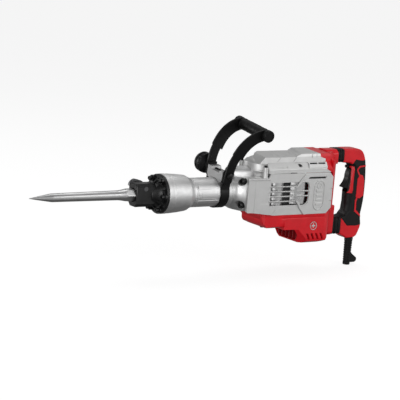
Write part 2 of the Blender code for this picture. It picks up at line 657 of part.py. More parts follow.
def make_side_covers():
    for side, name in ((-1, "side_cover_near"), (1, "side_cover_far")):
        inner, outer = side * (57.6 * MM), side * SIDE_Y
        ends = sorted((inner, outer))
        cover = plate(name, SILVER, side_cover_outline(), ends[0], ends[1])
        hollow = sorted((side * 40 * MM, side * (SIDE_Y - SHELL)))
        cut(cover, box(name + "_hollow", None, (325 * MM, hollow[0], -48 * MM),
            (578 * MM, hollow[1], 56 * MM)))
        through = sorted((side * 50 * MM, side * 80 * MM))
        for k in range(5):
            z = (27 - 13.5 * k) * MM
            slot = box(name + "_window_%d" % (k + 1), None, (377 * MM, through[0], z - 5 * MM),
                       (506 * MM, through[1], z + 5 * MM))
            cut(cover, slot)
        cut(cover, box(name + "_slot", None, (498 * MM, through[0], 41 * MM),
            (562 * MM, through[1], 45 * MM)))
        if side < 0:
            add(cover, box("badge_boss", None, (524 * MM, -SIDE_Y - 1.5 * MM, -44 * MM),
                           (556 * MM, -SIDE_Y + 1 * MM, 34 * MM)))


def make_top_cover():
    z0 = COVER_SPLIT_Z
    pod = arc((CRANK_X * 1000, 0), 44.5, 90, 270, 16)
    plan = mm(pod + [(566, -56), (585, -50), (585, 50), (566, 56)])
    cover = plate("top_cover", SILVER, plan, z0, 90 * MM, plane="XY")
    upper = plate("top_cover_upper", None, mm(arc((392, 0), 37, 90, 270, 12) + [(584, -46), (584, 46)]),
                  88 * MM, 98.5 * MM, plane="XY")
    step = plate("top_cover_step", None, mm([(466, 97), (500, 104.5), (560, 106), (584, 104), (584, 92),
        (466, 92)]),
                 -30 * MM, 30 * MM)
    add(cover, upper, step)
    room = plate("top_cover_room", None, mm(arc((CRANK_X * 1000, 0), 41, 90, 270, 12) + [(560, -50),
        (560, 50)]),
                 50 * MM, 86 * MM, plane="XY")
    upper_room = box("top_cover_upper_room", None, (398 * MM, -35 * MM, 80 * MM),
        (560 * MM, 35 * MM, 93 * MM))
    cut(cover, room, upper_room)
    for k, (x, y) in enumerate(top_screw_places()):
        cut(cover, drill("top_screw_hole_%d" % (k + 1), 50 * MM, 70 * MM, 2.5 * MM + GAP, axis="Z",
                       at=(x, y, 0)))
    slots = [box("top_slot_%d" % (k + 1), None, (x0 * MM, -80 * MM, 78 * MM), (x1 * MM, -45 * MM, 82 * MM))
             for k, (x0, x1) in enumerate(((499, 522), (526, 550)))]
    return cut(cover, *slots)


def top_screw_places():
    return [(352 * MM, -52 * MM), (352 * MM, 52 * MM)]


def mirrored(half):
    """A whole outline from its half on the far side, which starts and ends off the middle plane."""
    return mm(half + [(-y, z) for y, z in reversed(half)])


def make_lower_cover():
    """The front belly: a shallow hull whose raked chin hangs under the crank case."""
    top = SIDE_BOTTOM_Z - GAP
    end = BELLY_SPLIT_X - GAP
    section = mirrored([(61, top * 1000), (61, -82), (58, -88), (50, -93), (28, -97)])
    cover = plate("lower_cover", RED, section, CHIN_X, end, plane="YZ")
    chin = plate("chin_cut", None, mm([(350, -64), (365, -64), (373, -72), (374, -80), (383, -90),
        (400, -98.5),
                                       (400, -110), (350, -110)]), -70 * MM, 70 * MM)
    room = plate("lower_cover_room", None, mm([(378, -40), (378, -80), (386, -88), (400, -93.5),
        (460, -93.5),
                                               (460, -40)]), -46 * MM, 46 * MM)
    cut(cover, chin, room)
    for side, word in ((-1, "near"), (1, "far")):
        corner = plate("chin_corner_" + word, None,
            mm([(350, side * 46), (372, side * 46.5), (378, side * 52),
                                                        (430, side * 62), (430, side * 75),
                                                        (350, side * 75)]),
                       -120 * MM, -40 * MM, plane="XY")
        cut(cover, corner)
    return cover


def make_motor_cover():
    """The rear belly round the motor's foot and the fan. Its raked front is the air intake."""
    top = SIDE_BOTTOM_Z - GAP
    section = mirrored([(60, top * 1000), (60, -122), (57, -132), (49, -138)])
    block = plate("motor_cover", RED, section, BELLY_SPLIT_X, 600 * MM, plane="YZ")
    front = plate("intake_rake", None, mm([(430, -97.5), (474, -97.5), (482, -112), (491, -128),
        (500, -137),
                                           (500, -150), (430, -150)]), -80 * MM, 80 * MM)
    back = plate("belly_tail", None, mm([(556, -150), (556, -138.5), (582, -132), (593, -117), (599, -86),
        (610, -86),
                                         (610, -150)]), -80 * MM, 80 * MM)
    room = box("motor_room", None, (430 * MM, -55 * MM, -93 * MM), (594 * MM, 55 * MM, -30 * MM))
    low_room = plate("fan_room", None, mm([(507, -80), (507, -134), (552, -134), (578, -127), (588, -112),
                                           (588, -80)]), -46 * MM, 46 * MM)
    intake = plate("intake_mouth", None, mirrored([(52, -99), (50, -114), (42, -127), (32, -133)]),
                   440 * MM, 510 * MM, plane="YZ")
    cut(block, front, back, room, low_room, intake)
    for side, word in ((-1, "near"), (1, "far")):
        lip = plate("intake_corner_" + word, None,
            mm([(430, side * 21.4), (500, side * 70.4), (500, side * 90),
                                                       (430, side * 90)]), -150 * MM, -98.3 * MM,
                                                       plane="XY")
        for vertex in lip.data.vertices:
            vertex.co.x -= LIP_SWEEP * (vertex.co.z + 98.3 * MM)
        cut(block, lip)
        corner = plate("belly_corner_" + word, None,
            mm([(569, side * 70), (569, side * 60.5), (587, side * 54),
                                                         (597, side * 43), (603, side * 26),
                                                         (620, side * 26),
                                                         (620, side * 70)]), -150 * MM, -20 * MM,
                                                         plane="XY")
        cut(block, corner)
        ends = sorted((side * 42 * MM, side * 70 * MM))
        for k in range(VENTS):
            x = (512 + 15 * k) * MM
            slat = plate("vent_%s_%d" % (word, k + 1), None,
                         [(x, -110 * MM), (x + 6 * MM, -110 * MM), (x + 14 * MM, -124 * MM),
                         (x + 8 * MM, -124 * MM)],
                         ends[0], ends[1])
            cut(block, slat)
    return block


def make_rear_housing():
    half_plan = [(REAR_X * 1000, 57), (597, 56), (612, 34), (616, 26)]
    plan = half_plan + [(x, -y) for x, y in reversed(half_plan)]
    back = plate("rear_housing", RED, mm(plan), SIDE_BOTTOM_Z + 1 * MM, 84 * MM, plane="XY")
    room = box("rear_room", None, (REAR_X - 10 * MM, -48 * MM, -45 * MM), (602 * MM, 48 * MM, 78 * MM))
    cut(back, room)
    upper = box("upper_collar", None, (588 * MM, -25 * MM, 68 * MM), (626 * MM, 25 * MM, 107 * MM))
    lower = box("lower_collar", None, (601 * MM, -26 * MM, -128 * MM), (628 * MM, 26 * MM, -45 * MM))
    add(back, upper, lower)
    for name, z in (("upper", UPPER_ARM_Z), ("lower", LOWER_ARM_Z)):
        cut(back, drill(name + "_guide", 603 * MM, 640 * MM, 7 * MM + GAP, at=(0, 0, z)))
    return back


# Rear handle

def make_bellows():
    for name, z, half_height, low, high in (("upper_bellows", UPPER_ARM_Z, 17.5 * MM, 626 * MM, 650 * MM),
                                            ("lower_bellows", LOWER_ARM_Z, 23 * MM, 628 * MM, 660 * MM)):
        count = 3
        pitch = (high - low - 2 * GAP) / count
        outer = []
        for k in range(count):
            start = low + GAP + pitch * k
            outer += [(start, 20 * MM), (start + 0.25 * pitch, 24 * MM), (start + 0.75 * pitch, 24 * MM)]
        outer.append((low + GAP + pitch * count, 20 * MM))
        inner = [(low + GAP, 16 * MM), (high - GAP, 16 * MM)]
        sleeve = turned(name, RUBBER, outer, inner, at=(0, 0, z), sides=16)
        sleeve.scale = (half_height / (22 * MM), 1, 1)


def handle_outline():
    return mm([(650, 108), (699, 107.5), (713, 102), (722, 91), (727, 77), (730, 62), (734, 10), (734, -30),
               (730, -60), (728, -86), (732, -104), (729, -118), (720, -135), (711, -140), (686, -140),
               (672, -132), (660, -128), (660, -79), (668, -79), (675, -71), (676, -40), (677, -8),
               (681, 20),
               (684, 60), (680, 68), (650, 69)])


def make_handle():
    axis = pivot("handle_axis", (0, 0, 0))
    whole = handle_outline()
    grip_box = ((665 * MM, -30 * MM, GRIP_Z[0]), (745 * MM, 30 * MM, GRIP_Z[1]))
    wide_box = (Vector(grip_box[0]) - Vector((0, 0, GAP)), Vector(grip_box[1]) + Vector((0, 0, GAP)))
    core = ((CORE[0], -CORE_HALF, -90 * MM), (CORE[1], CORE_HALF, 90 * MM))
    loose = (Vector(core[0]) - Vector((GAP, GAP, 0)), Vector(core[1]) + Vector((GAP, GAP, 0)))
    pocket = ((660 * MM, -10.5 * MM, -14 * MM), (CORE[1] - 3 * MM, 10.5 * MM, 52 * MM))
    for side, name in ((-1, "handle_shell_near"), (1, "handle_shell_far")):
        shell = plate(name, RED, whole, -HANDLE_HALF, HANDLE_HALF, parent=axis)
        round_edges(shell, 6 * MM, angle=60)
        trim = box(name + "_trim", None, *wide_box)
        cut(trim, box(name + "_core", None, *core))
        ends = sorted((side * -40 * MM, side * GAP / 2))
        half = box(name + "_half", None, (600 * MM, ends[0], -200 * MM), (800 * MM, ends[1], 200 * MM))
        cut(shell, trim, half)
        cut(shell, box(name + "_pocket", None, *pocket))
        cut(shell, drill(name + "_button_hole", 660 * MM, 705 * MM, 4.5 * MM + GAP, at=(0, 0, 57 * MM)))
        for arm, z in (("upper", UPPER_ARM_Z), ("lower", LOWER_ARM_Z)):
            cut(shell, drill("%s_%s_rod_hole" % (name, arm), 640 * MM, 680 * MM, 6 * MM + GAP,
                at=(0, 0, z)))
        cut(shell, turned(name + "_guard_hole", None, [(-160 * MM, 12 * MM), (-125 * MM, 13.3 * MM)],
                          axis="Z", at=(709 * MM, 0, 0)))
    grip = plate("grip_overmold", RUBBER, whole, -HANDLE_HALF, HANDLE_HALF, parent=axis)
    round_edges(grip, 6 * MM, angle=60)
    boolean(grip, box("grip_length", None, *grip_box), "INTERSECT")
    cut(grip, box("grip_core", None, *loose), box("grip_pocket", None, *pocket))
    cut(grip, drill("grip_button_hole", 660 * MM, 705 * MM, 4.5 * MM + GAP, at=(0, 0, 57 * MM)))
    for arm, z, low in (("upper", UPPER_ARM_Z, 606.5 * MM), ("lower", LOWER_ARM_Z, 606.5 * MM)):
        rod("damper_rod_" + arm, STEEL, low + 10 * MM, 679 * MM, 6 * MM, at=(0, 0, z), parent=axis)


def make_controls():
    axis = pivot("trigger_axis", (TRIGGER_PIVOT[0], 0, TRIGGER_PIVOT[1]))
    outline = [(684, 50.5), (679, 40), (680, 24), (666, 3), (669, 0), (684, -6), (690, -8), (694, 10),
        (700, 44),
               (697, 50.5)]
    local = mm([(x - TRIGGER_PIVOT[0] * 1000, z - TRIGGER_PIVOT[1] * 1000) for x, z in outline])
    plate("trigger", BLACK, local, -10 * MM, 10 * MM, parent=axis)
    button = pivot("button_axis", (674 * MM, 0, 57 * MM))
    rod("lock_button", BLACK, 0, 24 * MM, 4.5 * MM, parent=button)
    box("switch_body", BLACK, (711 * MM, -9 * MM, -8 * MM), (723.7 * MM, 9 * MM, 46 * MM))


def make_cable_guard():
    guard = turned("cable_guard", RUBBER, [
        (-219 * MM, 9 * MM), (-217 * MM, 10 * MM), (-160 * MM, 11 * MM), (-126 * MM, 12 * MM)],
        [(-219 * MM, 5 * MM), (-126 * MM, 5 * MM)], axis="Z", at=(710 * MM, 0, 0), sides=16)
    lug = plate("guard_lug", None, mm([(716, -180), (722, -188), (740, -200), (740, -208), (734, -213),
        (717, -213)]),
                -6 * MM, 6 * MM)
    return add(guard, lug)


make_chisel()
make_nose()
make_flange_bolts()
make_latch()
make_front_case()
make_tool_sleeve()
make_impact_bolt()
make_barrel()
make_cylinder()
make_connecting_rod()
make_handle_band()
make_side_arms()
make_side_grip()
make_clamp()
make_crank_case()
make_case_bolts()
make_gearing()
make_motor()
make_side_covers()
make_top_cover()
make_lower_cover()
make_motor_cover()
make_rear_housing()
make_bellows()
make_handle()
make_controls()
make_cable_guard()
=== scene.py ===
"""The looks of an electric demolition hammer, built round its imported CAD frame.

Cutters are called "c": a boolean uses them up.
"""
from math import cos, pi, radians, sin

import bmesh
import bpy
from mathutils import Matrix, Vector


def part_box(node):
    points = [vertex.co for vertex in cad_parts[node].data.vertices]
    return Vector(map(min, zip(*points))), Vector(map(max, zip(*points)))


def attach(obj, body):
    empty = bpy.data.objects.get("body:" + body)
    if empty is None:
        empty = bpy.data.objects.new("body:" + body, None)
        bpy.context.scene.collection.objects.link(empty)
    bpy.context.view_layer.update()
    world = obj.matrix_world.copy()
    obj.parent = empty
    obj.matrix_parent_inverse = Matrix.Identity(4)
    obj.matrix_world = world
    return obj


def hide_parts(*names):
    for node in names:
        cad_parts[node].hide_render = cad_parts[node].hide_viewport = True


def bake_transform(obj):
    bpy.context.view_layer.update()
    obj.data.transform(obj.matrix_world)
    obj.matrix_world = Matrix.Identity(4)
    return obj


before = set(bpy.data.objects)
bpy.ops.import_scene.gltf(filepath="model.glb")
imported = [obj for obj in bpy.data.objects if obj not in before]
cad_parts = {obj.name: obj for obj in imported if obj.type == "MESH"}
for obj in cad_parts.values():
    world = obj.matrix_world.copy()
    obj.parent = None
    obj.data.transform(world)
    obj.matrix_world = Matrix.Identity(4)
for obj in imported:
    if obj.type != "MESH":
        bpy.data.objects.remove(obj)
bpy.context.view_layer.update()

NOSE_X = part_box("nose_cover")[0].x + 0.005
AXIS_Z = (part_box("barrel")[0].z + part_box("barrel")[1].z) / 2
TO_FRAME = Matrix.Translation((NOSE_X, 0, AXIS_Z)) @ Matrix.Scale(0.001, 4)
SWIVEL = Matrix.Rotation(radians(7.5), 4, "X")        # how the side handle stands on the barrel
SIDES = ((-1, "near"), (1, "far"))

# Places that several pieces share, in millimetres
LATCH_AT = (22, 0, 17)              # the latch pin's axis
ARM_FOOT = (250.5, 0, 42)           # where the side handle's arms meet the strap
CLAMP_AT = (251, 0, 57)             # the cross bolt
GRIP_AT = (337, 0, 168)             # the side grip's axis
EMBLEM_AT = (534.5, 0, -90.5)
EMBLEM_FACE = 58.6                  # how far the emblem's floor is from the middle
VENT_STARTS = [512 + 15 * k for k in range(4)]
DAMPER_Z = {"upper": 90, "lower": -103}
LOCK_AT = (0, 0, 57)                # the lock button's axis


# Materials

def new_material(name, roughness, metallic):
    made = bpy.data.materials.new(name)
    made.use_nodes = True
    shader = made.node_tree.nodes["Principled BSDF"]
    shader.inputs["Roughness"].default_value = roughness
    shader.inputs["Metallic"].default_value = metallic
    return made, made.node_tree.nodes, made.node_tree.links, shader


def noise(nodes, links, scale, detail, stretch=(1, 1, 1)):
    """Noise in the frame's own metres, so that it stays on the piece and has a real scale."""
    place_at = nodes.new("ShaderNodeTexCoord")
    mapping = nodes.new("ShaderNodeMapping")
    mapping.inputs["Scale"].default_value = stretch
    texture = nodes.new("ShaderNodeTexNoise")
    texture.inputs["Scale"].default_value = scale
    texture.inputs["Detail"].default_value = detail
    links.new(place_at.outputs["Object"], mapping.inputs["Vector"])
    links.new(mapping.outputs["Vector"], texture.inputs["Vector"])
    return texture.outputs["Fac"]


def span(nodes, links, value, low, high, into_low=0.35, into_high=0.65):
    """Spread the middle of a noise over a range of numbers."""
    made = nodes.new("ShaderNodeMapRange")
    made.inputs["From Min"].default_value = into_low
    made.inputs["From Max"].default_value = into_high
    made.inputs["To Min"].default_value = low
    made.inputs["To Max"].default_value = high
    links.new(value, made.inputs["Value"])
    return made.outputs["Result"]


def blend_colours(nodes, links, factor, first, second):
    made = nodes.new("ShaderNodeMix")
    made.data_type = "RGBA"
    made.inputs["A"].default_value = (*first, 1)
    made.inputs["B"].default_value = (*second, 1)
    links.new(factor, made.inputs["Factor"])
    return made.outputs["Result"]


def bump(nodes, links, shader, layers):
    """Stack bump layers of (height, depth in metres)."""
    last = None
    for height, depth in layers:
        made = nodes.new("ShaderNodeBump")
        made.inputs["Strength"].default_value = 1
        made.inputs["Distance"].default_value = depth
        links.new(height, made.inputs["Height"])
        if last:
            links.new(last, made.inputs["Normal"])
        last = made.outputs["Normal"]
    links.new(last, shader.inputs["Normal"])


def surface(name, colour, roughness, metallic, shade, grain, grain_depth, spread, stretch, waves):
    """A moulded, cast or painted finish: mottled colour, uneven gloss, fine grain, slow waves."""
    made, nodes, links, shader = new_material(name, roughness, metallic)
    dark = tuple(c * shade for c in colour)
    mottle = span(nodes, links, noise(nodes, links, 38, 4, stretch), 0, 1)
    links.new(blend_colours(nodes, links, mottle, dark, colour), shader.inputs["Base Color"])
    gloss = noise(nodes, links, 85, 3, stretch)
    links.new(span(nodes, links, gloss, roughness - spread, roughness + spread),
        shader.inputs["Roughness"])
    layers = [(noise(nodes, links, grain, 2, stretch), grain_depth)]
    if waves:
        layers.append((noise(nodes, links, waves[0], 2, stretch), waves[1]))
    bump(nodes, links, shader, layers)
    return made, shader


# look: material, colour, roughness, metallic, shade, grain, grain depth, spread
FINISHES = {
    "chisel": ("forged_steel", (0.66, 0.66, 0.66), 0.34, 1.0, 0.85, 700, 0.00002, 0.05),
    "cast": ("cast_aluminium", (0.80, 0.80, 0.80), 0.44, 1.0, 0.93, 1300, 0.00003, 0.05),
    "turned": ("turned_aluminium", (0.76, 0.76, 0.76), 0.50, 1.0, 0.94, 1200, 0.00002, 0.04),
    "silver": ("silver_cover", (0.66, 0.66, 0.655), 0.44, 0.65, 0.95, 1500, 0.00003, 0.04),
    "black": ("black_steel", (0.006, 0.006, 0.0064), 0.36, 0.0, 0.7, 800, 0.00004, 0.08),
    "arm": ("black_arm", (0.006, 0.0058, 0.006), 0.42, 0.0, 0.75, 1100, 0.00005, 0.06),
    "red": ("red_plastic", (0.74, 0.009, 0.018), 0.34, 0.0, 0.9, 1400, 0.00002, 0.05),
    "plastic": ("black_plastic", (0.006, 0.006, 0.0065), 0.36, 0.0, 0.8, 1200, 0.00003, 0.06),
    "rubber": ("black_rubber", (0.007, 0.007, 0.0072), 0.46, 0.0, 0.8, 1600, 0.00006, 0.07),
    "grey": ("grey_steel", (0.16, 0.16, 0.165), 0.36, 0.9, 0.8, 700, 0.00003, 0.06),
    "steel": ("bright_steel", (0.72, 0.72, 0.72), 0.30, 1.0, 0.85, 900, 0.00002, 0.06),
    "saddle": ("saddle_casting", (0.46, 0.46, 0.46), 0.5, 1.0, 0.9, 1300, 0.00003, 0.05),
    "casting": ("motor_casting", (0.64, 0.64, 0.64), 0.30, 1.0, 0.88, 800, 0.00002, 0.05),
    "copper": ("copper", (0.7, 0.3, 0.15), 0.35, 1.0, 0.85, 900, 0.00002, 0.06),
    # near-black painted shade, for sheets set behind slots and the windows
    "dark": ("dark_inside", (0.02, 0.02, 0.021), 0.6, 0.0, 0.7, 700, 0.00004, 0.06),
    # the red plastic made darker as painted shade, for the hollows of the intake and vents
    "deep_red": ("deep_red_plastic", (0.30, 0.008, 0.012), 0.45, 0.0, 0.85, 900, 0.00003, 0.05)}
FORGED_STRETCH = (0.3, 1, 1)                                    # the chisel's grain runs along it
WAVES = {"chisel": (45, 0.00008), "black": (90, 0.0001), "red": (25, 0.00012)}      # scale, depth
GLOSS = {
    "silver": {"Coat Weight": 0.08},
    "red": {"Specular IOR Level": 0.3, "Coat Weight": 0.08, "Coat Roughness": 0.2},
    "black": {"Specular IOR Level": 0.5}, "arm": {"Specular IOR Level": 0.22},
    "plastic": {"Specular IOR Level": 0.22}, "rubber": {"Specular IOR Level": 0.22}}


def make_materials():
    made = {}
    for look, row in FINISHES.items():
        stretch = FORGED_STRETCH if look == "chisel" else (1, 1, 1)
        made[look], shader = surface(*row, stretch, WAVES.get(look))
        for socket, value in GLOSS.get(look, {}).items():
            shader.inputs[socket].default_value = value
    return made


LOOK = make_materials()


# Building solids, in millimetres

def new_object(name, points, faces):
    mesh = bpy.data.meshes.new(name)
    mesh.from_pydata([tuple(p) for p in points], [], faces)
    form = bmesh.new()
    form.from_mesh(mesh)
    bmesh.ops.recalc_face_normals(form, faces=form.faces)
    form.to_mesh(mesh)
    form.free()
    made = bpy.data.objects.new(name, mesh)
    bpy.context.scene.collection.objects.link(made)
    return made


def loft(name, rings, closed=False):
    """A skin over rings of equally many points; its ends are capped, or joined if closed."""
    count = len(rings[0])
    points = [p for ring in rings for p in ring]
    faces = []
    pairs = len(rings) if closed else len(rings) - 1
    for k in range(pairs):
        low, high = k * count, (k + 1) % len(rings) * count
        for i in range(count):
            j = (i + 1) % count
            faces.append((low + i, low + j, high + j, high + i))
    if not closed:
        faces += [tuple(range(count)), tuple(range(len(points) - count, len(points)))]
    return new_object(name, points, faces)


PLANES = {"XZ": lambda u, v, w: (u, w, v), "XY": lambda u, v, w: (u, v, w), "YZ": lambda u, v,
    w: (w, u, v)}


def prism(name, outline, low, high, plane="XZ"):
    to_point = PLANES[plane]
    return loft(name, [[to_point(u, v, w) for u, v in outline] for w in (low, high)])


def frustum(name, low_outline, high_outline, low, high, plane="XY"):
    to_point = PLANES[plane]
    return loft(name, [[to_point(u, v, low) for u, v in low_outline], [to_point(u, v, high)
        for u, v in high_outline]])


def box(name, low, high):
    (x0, y0, z0), (x1, y1, z1) = low, high
    return prism(name, [(x0, z0), (x1, z0), (x1, z1), (x0, z1)], y0, y1)


def around(axis, along, radius, angle, at):
    u, v = radius * cos(angle), radius * sin(angle)
    x, y, z = at
    if axis == "X":
        return (x + along, y + u, z + v)
    if axis == "Y":
        return (x + u, y + along, z + v)
    return (x + u, y + v, z + along)


def lathe(name, profile, axis="X", at=(0, 0, 0), sides=72, closed=False):
    """A turned solid from (along, radius) points, or a turned ring if closed."""
    angles = [2 * pi * k / sides for k in range(sides)]
    rings = [[around(axis, a, max(r, 0.02), t, at) for t in angles] for a, r in profile]
    return loft(name, rings, closed)


def rod(name, low, high, radius, axis="X", at=(0, 0, 0), sides=48):
    return lathe(name, [(low, radius), (high, radius)], axis, at, sides)


def hex_rod(low, high, flats, at=(0, 0, 0), axis="X"):
    """A cutter for a hexagonal socket or bore."""
    return rod("c", low, high, flats / 2 / cos(pi / 6), axis, at, 6)


def settle(piece):
    """Turn a piece's modifiers into mesh."""
    bpy.context.view_layer.update()
    graph = bpy.context.evaluated_depsgraph_get()
    made = bpy.data.meshes.new_from_object(piece.evaluated_get(graph))
    piece.modifiers.clear()
    old, piece.data = piece.data, made
    bpy.data.meshes.remove(old)
    return piece


def discard(piece):
    mesh = piece.data
    bpy.data.objects.remove(piece)
    bpy.data.meshes.remove(mesh)


def boolean(piece, operation, others):
    for other in others:
        change = piece.modifiers.new(operation, "BOOLEAN")
        change.operation = operation
        change.solver = "EXACT"
        change.object = other
    settle(piece)
    for other in others:
        discard(other)
    return piece


def cut(piece, *tools):
    return boolean(piece, "DIFFERENCE", tools)


def add(piece, *lumps):
    return boolean(piece, "UNION", lumps)


def common(piece, *others):
    return boolean(piece, "INTERSECT", others)


def bevel(piece, width, segments=2, angle=30):
    change = piece.modifiers.new("edges", "BEVEL")
    change.width = width
    change.segments = segments
    change.limit_method = "ANGLE"
    change.angle_limit = radians(angle)
    change.miter_outer = "MITER_ARC"
    return settle(piece)


def move(piece, matrix):
    piece.data.transform(matrix)
    return piece


def copy_of(piece, name):
    made = bpy.data.objects.new(name, piece.data.copy())
    bpy.context.scene.collection.objects.link(made)
    return made


def join(name, *pieces):
    """Several separate shells as one object, each with its own material."""
    form = bmesh.new()
    materials = []
    for piece in pieces:
        base = len(materials)
        materials += list(piece.data.materials)
        first = len(form.faces)
        form.from_mesh(piece.data)
        form.faces.ensure_lookup_table()
        for face in form.faces[first:]:
            face.material_index += base
        discard(piece)
    mesh = bpy.data.meshes.new(name)
    form.to_mesh(mesh)
    form.free()
    for m in materials:
        mesh.materials.append(m)
    made = bpy.data.objects.new(name, mesh)
    bpy.context.scene.collection.objects.link(made)
    return made


def paint(piece, look):
    piece.data.materials.clear()
    piece.data.materials.append(LOOK[look])
    return piece


def smooth(piece, angle):
    for face in piece.data.polygons:
        face.use_smooth = True
    piece.data.set_sharp_from_angle(angle=radians(angle))


def finish(piece, body, look, nodes=(), angle=32, keep_material=False):
    """Move a piece into the shared frame, shade it, and let it ride on its body."""
    name = piece.name
    if not keep_material:
        paint(piece, look)
    piece.data.transform(TO_FRAME)
    smooth(piece, angle)
    even = piece.modifiers.new("even", "WEIGHTED_NORMAL")
    even.keep_sharp = True
    settle(piece)
    piece.name = name
    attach(piece, body)
    if nodes:
        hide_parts(*nodes)
    return piece


def arc(centre, radius, start, end, count):
    """Points of an arc, angles in degrees."""
    steps = [radians(start + (end - start) * k / count) for k in range(count + 1)]
    return [(centre[0] + radius * cos(a), centre[1] + radius * sin(a)) for a in steps]


def capsule(x0, x1, z0, z1, count=10):
    """A slot's outline with round ends along its longer side."""
    if x1 - x0 > z1 - z0:
        r, z = (z1 - z0) / 2, (z0 + z1) / 2
        return arc((x1 - r, z), r, -90, 90, count) + arc((x0 + r, z), r, 90, 270, count)
    r, x = (x1 - x0) / 2, (x0 + x1) / 2
    return arc((x, z1 - r), r, 0, 180, count) + arc((x, z0 + r), r, 180, 360, count)


def rounded(outline, radius, steps=4):
    """An outline with its corners rounded."""
    made = []
    count = len(outline)
    for k in range(count):
        corner = Vector(outline[k])
        before, after = Vector(outline[k - 1]) - corner, Vector(outline[(k + 1) % count]) - corner
        r = radius[k] if isinstance(radius, (list, tuple)) else radius
        reach = min(r, before.length * 0.45, after.length * 0.45)
        if reach < 0.05:
            made.append(tuple(corner))
            continue
        a, b = corner + before.normalized() * reach, corner + after.normalized() * reach
        for i in range(steps + 1):
            t = i / steps
            p = a * (1 - t) ** 2 + corner * 2 * t * (1 - t) + b * t * t
            made.append((p.x, p.y))
    return made


def mirrored(half):
    """A whole outline from the half with positive first coordinate."""
    return half + [(-u, v) for u, v in reversed(half)]


def both_sides(half):
    """A whole plan from the half with positive second coordinate."""
    return half + [(u, -v) for u, v in reversed(half)]


def smooth_path(points, steps=8):
    """A Catmull-Rom curve through 2-D points."""
    made = []
    for k in range(len(points) - 1):
        p0 = Vector(points[max(k - 1, 0)])
        p1, p2 = Vector(points[k]), Vector(points[k + 1])
        p3 = Vector(points[min(k + 2, len(points) - 1)])
        for i in range(steps):
            t = i / steps
            made.append(((2 * p1) + (p2 - p0) * t + (2 * p0 - 5 * p1 + 4 * p2 - p3) * t * t
                + (3 * p1 - p0 - 3 * p2 + p3) * t ** 3) / 2)
    made.append(Vector(points[-1]))
    return [(p.x, p.y) for p in made]


# Chisel and nose

def hexagon_radius(flats, angle):
    folded = (angle + pi / 6) % (pi / 3) - pi / 6
    return flats / 2 / cos(folded)


def make_chisel():
    """A hexagonal shank, a flared shoulder, an eight-sided bar and a drawn-out point."""
    flats, corner, sides = 30, 17.1, 96
    shank_end, shoulder, shoulder_end = -20, 33, -52
    bar_radius, bar_taper, bar_start, bar_end = 12.6, 1.6, -50, -235
    bar_length, point_radius, point_length = 185, 11.0, 65
    stations = [110, 60, 30, 5, -10, -18] + [-20 - 1.6 * k for k in range(22)] + [-62, -90, -130,
        -170, -205, -228]
    stations += [-233, -236, -240, -246, -254, -264, -275, -286, -294, -298, -299.6, -300]
    rings = []
    for x in stations:
        ring = []
        for k in range(sides):
            angle = 2 * pi * k / sides
            hexed = min(hexagon_radius(flats, angle + pi / 6), corner)
            along = min(max((shank_end - x) / shoulder, 0), 1)
            flare = bar_radius + 5.2 * (1 - along) ** 1.7
            body = bar_radius - (min(max(-x + bar_start, 0), bar_length) / bar_length) * bar_taper
            folded = (angle + pi / 8) % (pi / 4) - pi / 8
            facet = cos(pi / 8) / cos(folded)
            if x > shoulder_end:
                r = min(hexed, flare * (1 - 0.35 * along + 0.35 * along * facet ** 0.6))
            elif x > bar_end:
                r = body * (0.55 + 0.45 * facet)
            else:
                t = (bar_end - x) / point_length
                r = (point_radius * (1 - t) ** 0.93 + 0.5) * (0.45 + 0.55 * facet)
                r = min(r, point_radius * (0.55 + 0.45 * facet))
            ring.append((x, r * cos(angle), r * sin(angle)))
        rings.append(ring)
    chisel = loft("point_chisel", rings)
    cut(chisel, box("c", (14, -20, 10.5), (60, 20, 20)))
    finish(chisel, "bit", "chisel", ["chisel"], angle=26)


NOSE_CORNERS = [(20, -21), (20, 20), (12.5, 29.5), (-12.5, 29.5), (-20, 20), (-20, -21),
    (-12.5, -29.5), (12.5, -29.5)]
FLANGE_BOLTS = [radians(-30 + 60 * k) for k in range(6)]
BOLT_CIRCLE = 43


